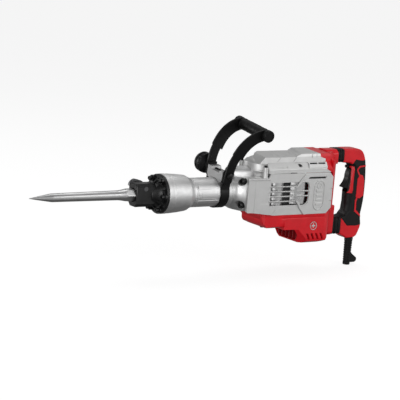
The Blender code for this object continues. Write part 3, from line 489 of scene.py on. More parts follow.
def make_nose():
    """A narrow block with bevelled corners, a ribbed cone behind it and the flange."""
    block = loft("nose_block", [[(x, y * scale, z * scale) for y, z in NOSE_CORNERS]
        for x, scale in ((-5, 0.93), (-3.4, 1), (46, 1), (52, 0.97))])
    cut(block, hex_rod(-10, 60, 31))
    cut(block, lathe("c", [(-8, 19.5), (-4.9, 18.2), (2, 16), (3, 10)], sides=64))
    cut(block, rod("c", -40, 40, 6.3, axis="Y", at=LATCH_AT))
    cut(block, rod("c", -40, -17.8, 3.2, axis="Y", at=(44, 0, 12)))
    bevel(block, 1.5, 3)
    finish(block, "hammer", "black", ["nose_cover"])
    cone = lathe("nose_boss", [(38, 17.9), (38, 22.6), (39, 23.6), (46, 25.2), (52, 26.5), (58, 29),
        (63, 33), (63.8, 37), (66, 38), (67.5, 38), (69.6, 40), (69.6, 22.4), (39.9, 22.4),
        (39.9, 17.9)], closed=True, sides=96)
    finish(cone, "hammer", "black")
    flange = lathe("nose_flange", [(67.5, 22.4), (67.5, 49), (69.2, 51), (74.5, 51), (74.5, 22.4)],
        closed=True, sides=96)
    for angle in FLANGE_BOLTS:
        lug = rod("c", 61, 74, 8.2, at=(0, -BOLT_CIRCLE * sin(angle), BOLT_CIRCLE * cos(angle)),
            sides=40)
        add(flange, lug)
    common(flange, rod("c", 50, 80, 51, sides=96))
    bevel(flange, 0.7)
    finish(flange, "hammer", "black")
    for k, angle in enumerate(FLANGE_BOLTS):
        rib = prism("nose_rib_%d" % (k + 1), rounded([(45, 20), (45, 25), (53, 29), (61, 36),
            (67.8, 44), (67.8, 20)], 2), -3, 3)
        bevel(rib, 1.2)
        move(rib, Matrix.Rotation(angle + pi / 6, 4, "X"))
        finish(rib, "hammer", "black")
        at = (0, -BOLT_CIRCLE * sin(angle), BOLT_CIRCLE * cos(angle))
        head = lathe("flange_screw_%d" % (k + 1), [(53, 3), (53, 4.6), (53.8, 5.4), (61.2, 5.4),
            (61.2, 3)], at=at, sides=48)
        cut(head, hex_rod(50, 57, 5.2, at=at))
        finish(head, "hammer", "black", ["flange_bolt_%d" % (k + 1)])


def make_latch():
    pin = rod("latch_pin", -19.4, 30, 5.9, axis="Y", at=LATCH_AT, sides=40)
    cut(pin, box("c", (14, -16, 17), (30, 16, 25)))
    bevel(pin, 0.6, 2, 50)
    outer = smooth_path([(-3.5, 20), (-2, 25), (2, 30.5), (8, 34.4), (13, 35.6), (24, 33.2),
        (34, 29.6), (39, 24)], 5)
    inner = smooth_path([(37, 19.5), (31, 10), (22, 6.6), (13, 9), (7, 15), (0, 17.5)], 5)
    lever = prism("latch_lever", outer + inner, 21.5, 29)
    add(lever, rod("c", 21, 31, 9, axis="Y", at=LATCH_AT, sides=40))
    bevel(lever, 1.6, 3)
    finish(lever, "latch", "grey")
    finish(pin, "latch", "grey", ["retainer_latch"])


# Barrel and side handle

def make_front_case():
    case = lathe("front_cone", [(74.9, 22.6), (74.9, 50.6), (75.6, 51.3), (86, 51.3), (87, 50.7),
        (94, 50.4), (95, 50.9), (120, 49.2), (143, 46.7), (147, 45.6), (151, 43), (155, 40.9),
        (158.6, 40.1), (158.9, 39.6), (158.9, 22.6)], closed=True, sides=120)
    bevel(case, 0.4, 2, 50)
    finish(case, "hammer", "turned", ["front_case"], angle=24)


def arc_pad(name, x0, x1, low, high, start, end):
    """A curved plate on the barrel between two angles from the horizontal, in degrees."""
    outline = arc((0, 0), high, start, end, 20) + arc((0, 0), low, end, start, 20)
    return prism(name, outline, x0, x1, "YZ")


def make_barrel():
    tube = lathe("barrel_tube", [(159.2, 33.4), (159.2, 37), (163.5, 37), (164.5, 38), (283, 38),
        (283, 33.4)], closed=True, sides=120)
    finish(tube, "hammer", "turned", ["barrel"], angle=24)
    for middle, side in ((180, "near"), (0, "far")):
        pad = arc_pad("pad", 170, 235, 37.5, 39.3, middle - 38, middle + 38)
        cut(pad, arc_pad("c", 178, 228, 38.6, 45, middle - 15, middle + 15))
        top = arc_pad("top", 170, 235, 37.5, 41.2, middle + 22, middle + 34)
        low = arc_pad("low", 170, 235, 37.5, 41.2, middle - 34, middle - 22)
        inner = arc_pad("inner", 181, 225, 37.5, 39.2, middle - 12.5, middle + 12.5)
        add(pad, top, low, inner)
        bevel(pad, 0.55)
        pad.name = "barrel_pad_" + side
        finish(pad, "hammer", "turned", angle=24)
    ring = lathe("barrel_ring", [(276, 37.6), (276, 39.2), (283, 39.2), (283, 37.6)], closed=True,
        sides=96)
    bevel(ring, 0.5)
    finish(ring, "hammer", "turned")


def arm_y(z):
    """How far an arm is from the middle at a height."""
    return 42 + 0.105 * (z - 57)


def lean(piece, side):
    """Shift a flat arm out to its side, further out towards the grip."""
    for vertex in piece.data.vertices:
        vertex.co.y += side * arm_y(vertex.co.z)
    return piece


def ribbon(middle, widths):
    """An outline of varying width round a middle line."""
    left, right = [], []
    for k, (x, z) in enumerate(middle):
        before, after = Vector(middle[max(k - 1, 0)]), Vector(middle[min(k + 1, len(middle) - 1)])
        along = (after - before).normalized()
        across = Vector((-along.y, along.x)) * widths[k] / 2
        left.append((x + across.x, z + across.y))
        right.append((x - across.x, z - across.y))
    return left + right[::-1]


def make_side_handle():
    lower_line = smooth_path([(250.5, 42), (251, 58), (252.5, 76), (256.5, 94), (263, 109),
        (270, 121)], 6)
    upper_line = smooth_path([(264, 107), (275, 128), (290, 146), (308, 159), (325, 165.5),
        (337, 168)], 8)
    for side, word in SIDES:
        widths = [25 + 2.0 * k / (len(lower_line) - 1) for k in range(len(lower_line))]
        lower = prism("side_arm_lower_" + word, ribbon(lower_line, widths), -2.3, 2.3)
        foot = rod("c", -2.3, 2.3, 12.5, axis="Y", at=ARM_FOOT, sides=40)
        widths = [34 - 3.5 * (k / (len(upper_line) - 1)) ** 1.5 for k in range(len(upper_line))]
        upper = prism("side_arm_upper_" + word, ribbon(upper_line, widths), -3.0, 3.0)
        eye = rod("c", -3.0, 3.0, 15, axis="Y", at=GRIP_AT, sides=48)
        add(lower, foot)
        add(upper, eye)
        bevel(lower, 0.8)
        bevel(upper, 0.9)
        for piece, nodes in ((lower, ["side_arm_" + word]), (upper, [])):
            lean(piece, side)
            move(piece, SWIVEL)
            finish(piece, "side_handle", "arm", nodes)
    strap = prism("strap", [(37.3, 70)] + arc((0, 0), 41.6, 26, -206, 60) + [(-37.3, 70),
        (-34.3, 70)] + arc((0, 0), 38.6, -208, 28, 60) + [(34.3, 70)], 238, 264, "YZ")
    bevel(strap, 0.8, 2, 45)
    move(strap, SWIVEL)
    finish(strap, "side_handle", "arm", ["clamp_band"], angle=24)
    make_side_grip()
    make_clamp()


def make_side_grip():
    half = arm_y(GRIP_AT[2]) - 4.5
    profile = [(-half, 6.2), (-half, 14.4), (-half + 2, 15.6), (-half + 5, 15.8), (-half + 6, 15)]
    steps = 15
    for k in range(steps + 1):
        y = -half + 8 + (2 * half - 16) * k / steps
        swell = 15.2 + 0.5 * sin(pi * k / steps)
        profile += [(y - 1.1, swell), (y + 1.1, swell)] if k % 3 else [(y - 1.1, swell - 0.35),
            (y + 1.1, swell - 0.35)]
    profile += [(half - 6, 15), (half - 5, 15.8), (half - 2, 15.6), (half, 14.4), (half, 6.2)]
    grip = lathe("side_grip_sleeve", profile, axis="Y", at=GRIP_AT, sides=72, closed=True)
    move(grip, SWIVEL)
    finish(grip, "side_handle", "rubber", ["side_grip"], angle=40)
    for side, word in SIDES:
        start = arm_y(GRIP_AT[2]) + 4.6
        profile = [(side * (start + a), r) for a, r in ((0, 0), (0, 15.6), (1, 16), (8.5, 16),
            (9.3, 15.2), (10.2, 15.2), (11, 16), (12.6, 15.7), (13.8, 14.4), (14.1, 11.2),
            (13.1, 10.8), (13.1, 0))]
        cap = lathe("grip_end_cap_" + word, profile, axis="Y", at=GRIP_AT, sides=72)
        move(cap, SWIVEL)
        finish(cap, "side_handle", "rubber", ["grip_cap_" + word], angle=30)


def make_clamp():
    """The saddle, its screw, the cross bolt and the knob."""
    x, _, z = CLAMP_AT
    screw_at = (x + 3, -25, 0)
    saddle = box("saddle", (236, -33.8, 22), (267, 33.8, 64))
    cut(saddle, prism("c", [(-40, 15), (40, 15), (40, 41), (33, 41), (29, 33), (-29, 33), (-33, 41),
        (-40, 41)], 200, 300, "YZ"))
    cut(saddle, rod("c", 200, 300, 38.4, sides=96))
    cut(saddle, prism("c", [(-20, 66), (-16, 57), (16, 57), (20, 66)], 200, 300, "YZ"))
    cut(saddle, rod("c", 50, 80, 4.4, axis="Z", at=screw_at, sides=32))
    bevel(saddle, 1.6, 3)
    move(saddle, SWIVEL)
    finish(saddle, "side_handle", "saddle", ["clamp_saddle"])
    screw = lathe("saddle_screw", [(54, 0), (54, 3.7), (60.6, 3.9), (61.4, 3), (61.4, 0)], axis="Z",
        at=screw_at, sides=32)
    cut(screw, hex_rod(58, 66, 3.4, at=screw_at, axis="Z"))
    move(screw, SWIVEL)
    finish(screw, "side_handle", "black")
    head = 46                           # where the bolt's head and the knob start, from the middle
    bolt = lathe("clamp_cross_bolt", [(-head - 5.6, 0), (-head - 5.6, 4.6), (-head - 4.6, 6.6),
        (-head - 1, 7.6), (-head + 0.8, 7.6), (-head + 0.8, 4), (head + 34, 4), (head + 34, 0)],
        axis="Y", at=CLAMP_AT, sides=48)
    move(bolt, SWIVEL)
    finish(bolt, "side_handle", "black", ["clamp_bolt"])
    disc = head + 16
    knob = lathe("clamp_knob_body", [(head, 4.4), (head, 12), (head + 2, 13), (disc - 7, 13.4),
        (disc - 4, 20), (disc - 1.5, 25.4), (disc, 26.6), (disc + 3, 27), (disc + 9, 27),
        (disc + 10.4, 26.2), (disc + 11.2, 24.6), (disc + 12.8, 24.6), (disc + 13.6, 26.2),
        (disc + 15, 27), (disc + 19, 26.6), (disc + 24, 23.6), (disc + 28, 18.6), (disc + 29, 16),
        (disc + 29, 4.4)], axis="Y", at=CLAMP_AT, sides=96, closed=True)
    for k in range(10):
        angle = 2 * pi * k / 10
        flute = rod("c", disc - 9, disc + 40, 3.2, axis="Y", at=(x + 29 * cos(angle), 0,
            z + 29 * sin(angle)), sides=24)
        cut(knob, flute)
    bevel(knob, 0.5, 2, 40)
    plug = lathe("knob_plug", [(disc + 24, 0), (disc + 24, 9), (disc + 29.5, 9), (disc + 30.4, 8),
        (disc + 30.4, 0)], axis="Y", at=CLAMP_AT, sides=48)
    for piece, nodes in ((knob, ["clamp_knob"]), (plug, [])):
        move(piece, SWIVEL)
        finish(piece, "knob", "plastic", nodes)


# Body

CASE_BOLTS = (("upper_near", -43, 33), ("lower_near", -43, -29), ("upper_far", 43, 33),
    ("lower_far", 43, -29))


def make_crank_case():
    """The cast case: a funnel from the barrel to a block, with a tunnel on top and bolt pockets."""
    shape = [(283.4, 38.6), (288, 39.4), (294, 43), (300, 50), (305, 57), (308, 62), (320, 64)]
    funnel = lathe("crank_case_front", shape, sides=120)
    common(funnel, box("c", (270, -57, -46), (330, 57, 42)))
    tunnel = rod("c", 287, 352, 23.6, at=(0, 0, 43), sides=64)
    shelf = box("c", (318, -57, -46), (376, 57, 42.4))
    add(funnel, tunnel, shelf)
    for word, y, z in CASE_BOLTS:
        cut(funnel, lathe("c", [(270, 14), (296, 11.5), (309.4, 9.6)], at=(0, y, z), sides=48))
    cut(funnel, rod("c", 270, 340, 33.3, sides=64), box("c", (330, -52, -41), (380, 52, 38)))
    bevel(funnel, 1.0, 2, 40)
    finish(funnel, "hammer", "cast", ["crank_case"], angle=30)
    # The heads are oversized: besides the screws' own black they give their pockets painted shade.
    for word, y, z in CASE_BOLTS:
        bolt = lathe("case_screw_" + word, [(296, 3), (296, 7), (297.2, 8.2), (309.2, 8.2),
            (309.2, 4), (316, 4), (316, 0)], at=(0, y, z), sides=48)
        cut(bolt, hex_rod(294, 301.5, 6.8, at=(0, y, z)))
        finish(bolt, "hammer", "black", ["case_bolt_" + word])


def y_span(side, inner, outer):
    """Two distances from the middle on one side, as the lower and the higher y."""
    return sorted((side * inner, side * outer))


def slab(side, outline, inner, outer):
    """A flat plate on one side of the tool, between two distances from its middle."""
    return prism("c", outline, *y_span(side, inner, outer))


def side_box(side, low, high):
    """A box on one side of the tool, with its distances from the middle as y."""
    y0, y1 = y_span(side, low[1], high[1])
    return box("c", (low[0], y0, low[2]), (high[0], y1, high[2]))


def rectangle(x0, x1, z0, z1):
    return [(x0, z0), (x1, z0), (x1, z1), (x0, z1)]


WINDOW = [(380, -31), (494, -31), (505, -21), (505, 22), (496, 30), (380, 30)]
RIB_UPPER = [(461, 16), (471.4, 30), (490.7, 50.5), (499, 50.5), (478.5, 30), (466.5, 16)]
RIB_LOWER = [(462, -19), (468, -25), (477.7, -40), (493, -57), (501, -57), (484.5, -39), (475, -25),
    (468, -18)]
PANEL = [(491, 49.6), (571, 49.6), (583.4, 42.4), (583.4, -41.4), (568, -56.6), (493.4, -56.6),
    (478.5, -39.6), (473, -31), (488, -31), (497, -31), (506, -22), (506, 23), (498, 30),
    (471.5, 30)]


def wedge(side, outline):
    """A cutter for a recess that starts flush at its front and deepens backwards."""
    front = min(x for x, _ in outline)
    rings = [[(x, side * 70, z) for x, z in outline], [(x, side * (65 - 0.12 * (x - front)), z)
        for x, z in outline]]
    return loft("c", rings)


def make_side_cover(side, word):
    """A stepped cover: a proud front block, a barred window, and a raised rear panel."""
    base = slab(side, [(306.5, -43.5), (309.5, -46.6), (328, -47.6), (398, -57), (569, -57),
        (584, -42), (584, 43), (574, 53.2), (378, 53.2), (371, 42.6), (306.5, 42.6)], 57.6, 61.6)
    block = slab(side, [(306.5, -43.5), (309.5, -46.6), (328, -47.6), (376.6, -54), (377.4, -31),
        (377.4, 30), (374, 42.6), (306.5, 42.6)], 60, 65)
    cut(block, prism("c", [(side * 65.3, 36), (side * 57.5, 43), (side * 70, 46), (side * 70, 36)],
        300, 400, "YZ"))
    cut(block, prism("c", [(300, side * 63), (328, side * 65.02), (328, side * 70),
        (300, side * 70)], -70, 70, "XY"))
    cut(block, wedge(side, [(348.7, 17.5), (380, 19.5), (380, 3.7), (365, 3.7)]),
        wedge(side, [(363.6, -9), (380, -9), (380, -26), (347, -25)]))
    cut(block, slab(side, [(327.6, -60), (328.6, -60), (328.6, 36), (327.6, 36)], 64.3, 70))
    panel = slab(side, PANEL, 60, 64.4)
    ribs = [slab(side, RIB_UPPER, 60.4, 65), slab(side, RIB_LOWER, 60.4, 65)]
    strip = slab(side, rounded([(390, -56.4), (402, -38), (462, -38), (474, -56.4)], 1), 60, 62.6)
    add(base, block, panel, strip)
    base.name = "side_shell_" + word
    cut(base, slab(side, rounded([(330, -45), (372, -49), (400, -52), (560, -52), (578, -40),
        (578, 40), (568, 49), (384, 49), (374, 38), (330, 38)], 3), 50, 59.6))
    cut(base, slab(side, rounded(WINDOW, [1, 5, 5, 5, 5, 1]), 50, 80))
    cut(base, slab(side, [(500, 38.4), (503.5, 43.4), (561, 43.4), (557.5, 38.4)], 50, 80))
    for z in (-22, 10):
        cut(base, slab(side, [(577, z), (592, z), (592, z - 1.4), (577, z - 1.4)], 50, 80))
    for rib in ribs:
        add(base, rib)
    bevel(base, 0.8)
    finish(base, "hammer", "silver", ["side_cover_" + word])
    slats = []
    for low, high, end in ((16.8, 21, 464), (3.8, 8, 506), (-9.2, -5, 506), (-22.4, -18.2, 466)):
        bar = prism("c", rounded([(60 * side, low), (62.6 * side, low + 0.2),
            (63.4 * side, high - 1.2), (62.4 * side, high), (60 * side, high)], 0.7), 376, end,
            "YZ")
        bevel(bar, 0.3)
        slats.append(paint(bar, "silver"))
    finish(join("window_slats_" + word, *slats), "hammer", "silver", keep_material=True)
    # A near-black sheet behind the slot, as painted shade.
    finish(rename(slab(side, [(498, 37), (498, 45), (563, 45), (563, 37)], 58.6, 59.4),
        "slot_shade_sheet_" + word), "hammer", "dark")
    make_window_view(side, word)
    make_badge_boss(side, word)
    for k, (z, x0, x1) in enumerate(((45.8, 512, 566), (-52.4, 505, 563))):
        line = prism("cover_rib_%s_%d" % (word, k + 1), capsule(x0, x1, z - 0.8, z + 0.8, 6),
            *y_span(side, 64, 65))
        finish(line, "hammer", "silver")


def rename(piece, name):
    piece.name = name
    return piece


def make_window_view(side, word):
    """Seen through a window: a black wall of painted shade, a round column, the motor's casing."""
    # The wall is a near-black sheet that paints the shade inside the window.
    finish(box("window_wall_" + word, *[(x, side * y, z)
        for x, y, z in ((378, 46, -44), (512, 44.6, 46))]), "hammer", "dark")
    column = lathe("window_column_" + word, [(-44, 24), (-36, 25), (36, 25), (44, 24)], axis="Z",
        at=(411, side * 33.5, 0), sides=96)
    common(column, side_box(side, (370, 44, -60), (440, 61, 60)))
    finish(column, "hammer", "casting")
    can = prism("window_casting_" + word, rounded([(453, side * 45), (453, side * 50),
        (466, side * 59.4), (494, side * 59.4), (502, side * 52), (502, side * 45)], 9, 8), -29, 35,
        "XY")
    cut(can, side_box(side, (430, 57.6, -3.4), (510, 62, 2.6)))
    bevel(can, 4, 4, 50)
    finish(can, "hammer", "casting")


def make_badge_boss(side, word):
    """A plain capsule boss: a rim round one ring and four short bars."""
    low, high = y_span(side, 63.8, 66.3)
    rim = prism("boss_rim_" + word, capsule(522, 558, -47.5, 34.5, 16), low, high)
    cut(rim, slab(side, capsule(525.4, 554.6, -44, 31, 16), 60, 70))
    bevel(rim, 0.7)
    finish(rim, "hammer", "silver")
    ring = lathe("boss_bar_%s_1" % word, [(side * 64, 4.4), (side * 66, 4.8), (side * 66, 8.4),
        (side * 64, 9)], axis="Y", at=(540, 0, 19), sides=48, closed=True)
    finish(ring, "hammer", "silver")
    for k in range(1, 5):
        z = 17.5 - 12 * k
        bar = prism("boss_bar_%s_%d" % (word, k + 1), capsule(529, 551, z - 3.4, z + 3.4, 10), low,
            high)
        bevel(bar, 0.7)
        finish(bar, "hammer", "silver")


def dome_ring(z, radius):
    """One ring of the top cover's round front: an arc and the two straight sides behind it."""
    points = [(385 + (44.5 - radius) * 0.1, 0)]
    centre = points[0]
    return [(x, y, z) for x, y in [(432, radius)] + arc(centre, radius, 90, 270, 40)
        + [(432, -radius)]]


def make_top_cover():
    """A round-fronted dome, a long body with sloping sides, and a deck with a step on it."""
    dome = loft("top_dome", [dome_ring(z, r) for z, r in ((42.8, 41.4), (48, 41.8), (53, 43),
        (55.6, 44.6), (56.6, 45.6), (59.6, 45.6), (60.4, 44.8), (75, 44.4), (78, 43.4), (80.6, 41),
        (84, 35.6), (88.8, 27))])
    bevel(dome, 0.5, 2, 50)
    finish(dome, "hammer", "silver", angle=40)
    section = mirrored([(57.6, 53.7), (57.6, 61.2), (56.6, 61.6), (56.6, 62.4), (57.4, 62.8),
        (57.2, 64), (47.4, 79.2), (46.4, 80.2)])
    body = prism("top_shell", section, 373, 584, "YZ")
    deck = prism("c", [(-46.4, 78), (-45.4, 94.4), (-20, 97), (0, 97.8), (32, 98.6), (39, 95),
        (45, 78)], 340, 584, "YZ")
    cut(deck, prism("c", [(330, 60), (336, 70), (349.5, 80), (359, 88.7), (369.4, 98.2), (374, 103),
        (330, 103)], -80, 80))
    cut(deck, prism("c", [(350, -6.0), (369, 10), (402, 40), (402, 60), (330, 60), (330, -6)], 60,
        120, "XY"))
    step = new_object("c", [(468, -44.6, 92), (502, 40, 92), (583, 40, 92), (583, -44.6, 92),
        (468, -44.6, 95.3), (502, 40, 98.8), (583, 40, 98.8), (583, -44.6, 95.3),
        (486.5, -42, 101.6), (508, 33, 105.7), (582, 33, 105.7), (582, -42, 101.6)],
        [(0, 1, 2, 3), (0, 1, 5, 4), (1, 2, 6, 5), (2, 3, 7, 6), (3, 0, 4, 7), (4, 5, 9, 8),
        (5, 6, 10, 9), (6, 7, 11, 10), (7, 4, 8, 11), (8, 9, 10, 11)])
    add(body, deck, step)
    edge = [(549.7, 112), (549.7, 93), (565.7, 88), (565.7, 62), (579, 55), (579, 50), (600, 50),
        (600, 112)]
    rear = common(copy_of(body, "rear_top_cap"), prism("c", edge, -80, 80))
    bevel(rear, 0.8)
    finish(rear, "hammer", "red")
    cut(body, prism("c", [(x - 0.3, z) for x, z in edge], -81, 81))
    cut(body, *deck_lines())
    for side in (-1, 1):
        cut(body, *side_marks(side))
    bevel(body, 0.8)
    finish(body, "hammer", "silver", ["top_cover"])
    for side, word in SIDES:
        plate = prism("slot_plate_" + word, [(side * 58.4, 66.4), (side * 50.4, 80.6),
            (side * 48.4, 79.4), (side * 56.2, 65.4)], 503, 566, "YZ")
        cut(plate, prism("c", [(490, 60), (503, 60), (506, 75), (500, 90), (490, 90)], -80, 80))
        for x0, x1 in ((508, 533), (537, 560)):
            cut(plate, slab(side, [(x0, 75.4), (x1, 75.4), (x1 + 1.4, 79.2), (x0 + 1, 79.2)], 40,
                80))
        bevel(plate, 0.5)
        finish(plate, "hammer", "silver")
        # A near-black sheet behind the slots, as painted shade.
        fill = prism("slot_plate_shade_sheet_" + word, [(side * 56.3, 66.4), (side * 48.3, 80.2),
            (side * 47.8, 79.8), (side * 55.8, 66)], 506, 562, "YZ")
        finish(fill, "hammer", "dark")
        post_at = (363.5, side * 54, 0)
        post = lathe("cover_post_" + word, [(42, 0), (42, 7.6), (43, 8.2), (45, 7.4), (69, 7.0),
            (70.2, 6.6), (70.6, 5), (68, 4.8), (68, 0)], axis="Z", at=post_at, sides=48)
        finish(post, "hammer", "silver")
        screw = lathe("cover_screw_" + word, [(66, 0), (66, 4.4), (73.6, 4.6), (75, 3.4), (75, 0)],
            axis="Z", at=post_at, sides=40)
        cut(screw, hex_rod(72.5, 80, 4, at=post_at, axis="Z"))
        finish(screw, "hammer", "black")
        recess = lathe("cover_recess_screw_" + word, [(side * 46, 0), (side * 46, 3.4),
            (side * 51.6, 3.4), (side * 52.4, 2.6), (side * 52.4, 0)], axis="Y", at=(478, 0, 72.6),
            sides=32)
        finish(recess, "hammer", "black")
        tab = slab(side, rounded([(444, 52.4), (464.5, 52.4), (464.5, 54.8), (444, 54.8)], 0.4),
            57.4, 58.6)
        finish(rename(tab, "cover_tab_" + word), "hammer", "plastic")


def deck_lines():
    """The folds pressed into the deck."""
    fold = new_object("c", [(400, -27, 95.2), (400, -30.2, 95.2), (469, -43, 93.6),
        (469, -39, 93.6), (400, -27, 99), (400, -30.2, 99), (469, -43, 99), (469, -39, 99)],
        [(0, 1, 2, 3), (4, 5, 6, 7), (0, 1, 5, 4), (1, 2, 6, 5), (2, 3, 7, 6), (3, 0, 4, 7)])
    front = prism("c", [(466, -22), (467.4, -22), (479, 12), (477.6, 12)], 97.0, 104, "XY")
    rear = prism("c", [(538, -60), (539.4, -60), (531, 60), (529.6, 60)], 104.9, 112, "XY")
    return [fold, front, rear]


def side_marks(side):
    """Slanted gashes on the deck's side wall and the recesses in the sloping side."""
    made = []
    for x in (404.6, 457):
        made.append(slab(side, [(x, 82), (x + 1.5, 82), (x + 14.5, 97), (x + 13, 97)], 43.6, 60))
    for x in (519, 534):
        made.append(slab(side, [(x, 92), (x + 1.6, 92), (x + 5.6, 104), (x + 4, 104)], 41.4, 60))
    made.append(slab(side, rounded([(384, 76.6), (400, 67.6), (417, 66), (430, 70.5), (438, 76.6)],
        1), 53.6, 70))
    made.append(slab(side, [(430.5, 67.5), (432.5, 67.5), (443, 76), (441, 76)], 52, 70))
    made.append(slab(side, rounded([(466, 78.6), (472, 78.6), (484, 73.5), (483.5, 68.4),
        (474.5, 68.4), (472, 73.5)], 1), 47.5, 70))
    return made


def make_lower_cover():
    section = mirrored([(57.3, -52.3), (57.3, -57.4), (61, -57.4), (61, -64), (59.4, -67),
        (60.6, -70), (60.6, -80), (57, -89), (49, -93.4), (26, -97)])
    cover = prism("belly_front", section, 364, 436.7, "YZ")
    cut(cover, prism("c", [(350, -60), (364.5, -60), (367, -66), (372.6, -71), (374, -80),
        (382, -90), (392, -95.6), (402, -98.8), (402, -120), (350, -120)], -80, 80))
    for side in (-1, 1):
        cut(cover, prism("c", [(350, side * 45), (371.4, side * 45.6), (378, side * 52),
            (430, side * 61.8), (430, side * 80), (350, side * 80)], -130, -40, "XY"))
        cut(cover, box("c", (350, side * 20 - 13, -85.4), (369, side * 20 + 13, -74)))
    bevel(cover, 1.7, 3)
    finish(cover, "hammer", "red", ["lower_cover"])
    foot = lathe("belly_foot", [(-101.5, 0), (-101.5, 4.6), (-100.6, 5.4), (-95, 5.6), (-95, 0)],
        axis="Z", at=(408, 0, 0), sides=32)
    finish(foot, "hammer", "rubber")


def make_motor_cover():
    section = mirrored([(57.3, -52.3), (57.3, -57.4), (60.4, -57.4), (60.4, -64), (58.8, -67),
        (60, -70), (60, -122), (57, -132), (47, -138)])
    block = prism("belly_rear", section, 437, 600, "YZ")
    cut(block, prism("c", [(430, -98.2), (473, -98.2), (478, -103), (483, -112), (491, -128),
        (499, -138), (500, -150), (430, -150)], -80, 80))
    cut(block, prism("c", [(557, -150), (557, -138.4), (572, -136), (583, -131), (590, -123),
        (594, -115), (599, -86), (610, -86), (610, -150)], -80, 80))
    mouth = loft("c",
        [[(x, y, z) for y, z in rounded(mirrored([(54 - inset, -101), (52 - inset, -116),
        (44 - inset, -129), (30 - inset, -134)]), 3)] for x, inset in ((440, 0), (492, 1.5),
        (520, 10))])
    cut(block, mouth)
    for side in (-1, 1):
        lip = prism("c", [(430, side * 21.4), (500, side * 70.4), (500, side * 90),
            (430, side * 90)], -150, -99, "XY")
        for vertex in lip.data.vertices:
            vertex.co.x -= 1.08 * (vertex.co.z + 99)
        cut(block, lip)
        cut(block, prism("c", [(569, side * 80), (569, side * 60.2), (580, side * 57.6),
            (588, side * 53), (595, side * 45), (600, side * 36), (603, side * 26),
            (620, side * 26), (620, side * 80)], -150, -20, "XY"))
        for x in VENT_STARTS:
            cut(block, slab(side, rounded([(x, -111), (x + 7, -111), (x + 16, -128), (x + 9, -128)],
                0.8, 2), 52, 70))
        cut(block, rod("c", *y_span(side, EMBLEM_FACE, 70), 12.6, axis="Y", at=EMBLEM_AT, sides=64))
    bevel(block, 1.9, 3)
    finish(block, "hammer", "red", ["motor_cover"])
    # The liner and fins are red plastic darkened as painted shade for the scoop's hollow.
    liner = loft("intake_liner",
        [[(x, y, z) for y, z in rounded(mirrored([(47, -103), (45, -115), (38, -126), (26, -131)]),
        3)] for x in (508, 512)])
    finish(liner, "hammer", "deep_red")
    for k in range(6):
        fin = box("intake_fin_%d" % (k + 1), (494, -40 + 15.6 * k - 0.9, -131),
            (509, -40 + 15.6 * k + 0.9, -101))
        bevel(fin, 0.4)
        finish(fin, "hammer", "deep_red")
    for side, word in SIDES:
        make_emblem(side, word)
        for k, x in enumerate(VENT_STARTS):
            # A plate behind the vent, darkened red as painted shade.
            back = slab(side, [(x - 1, -110), (x + 8, -110), (x + 17, -129), (x + 8, -129)], 50.8,
                52.6)
            finish(rename(back, "vent_back_%s_%d" % (word, k + 1)), "hammer", "deep_red")


def make_emblem(side, word):
    """A generic round emblem: a silver ring and a silver plus on a red disc."""
    x, _, z = EMBLEM_AT
    disc = lathe("emblem_disc_" + word, [(side * 57, 0), (side * 57, 12.3), (side * 59, 12.3),
        (side * 59, 0)], axis="Y", at=EMBLEM_AT, sides=64)
    finish(disc, "hammer", "red")
    ring = lathe("emblem_ring_" + word, [(side * EMBLEM_FACE, 9.6), (side * 60.2, 9.8),
        (side * 60.2, 11.2), (side * EMBLEM_FACE, 11.4)], axis="Y", at=EMBLEM_AT, sides=64,
        closed=True)
    finish(ring, "hammer", "silver")
    star, upright = [slab(side, rectangle(x - width, x + width, z - height, z + height),
        EMBLEM_FACE, 60) for width, height in ((6, 1.5), (1.5, 6))]
    add(star, upright)
    bevel(star, 0.3)
    finish(rename(star, "emblem_plus_" + word), "hammer", "silver")


def make_rear_housing():
    plan = both_sides([(585.4, 57.4), (591, 56.4), (597, 52), (606, 42), (613, 32), (616, 25)])
    back = prism("rear_column", plan, -51, 84, "XY")
    cap_low = both_sides([(585.4, 50), (592, 48), (604, 36), (612, 26)])
    cap_high = both_sides([(585.4, 36), (590, 34), (600, 28), (606, 24)])
    add(back, frustum("c", cap_low, cap_high, 82, 103))
    collar = prism("c", rounded(mirrored([(25, 68), (25, 98), (15, 107)]), 4, 4), 588, 626, "YZ")
    add(back, collar)
    lower = prism("c", rounded(mirrored([(26, -45), (26, -120), (18, -128)]), 4, 4), 601, 628, "YZ")
    add(back, lower)
    for z in DAMPER_Z.values():
        cut(back, rod("c", 606, 640, 7.4, at=(0, 0, z), sides=40))
    for side in (-1, 1):
        for k in range(6):
            z = 40 - 15 * k
            cut(back, side_box(side, (604, 26, z - 1.6), (620, 44, z + 1.6)))
    bevel(back, 1.5, 3)
    finish(back, "hammer", "red", ["rear_housing"])
    for side, word in SIDES:
        for k, z in enumerate((60, 4, -40)):
            screw = lathe("rear_screw_%s_%d" % (word, k + 1), [(610, 0), (610, 3.6), (617, 3.6),
                (617.8, 2.8), (617.8, 0)], at=(0, side * 21, z), sides=32)
            finish(screw, "hammer", "black")


# Rear handle

def rounded_ring(x, half_y, low, high, radius):
    return [(x, y, z) for y, z in rounded([(half_y, low), (half_y, high), (-half_y, high),
        (-half_y, low)], radius, 6)]


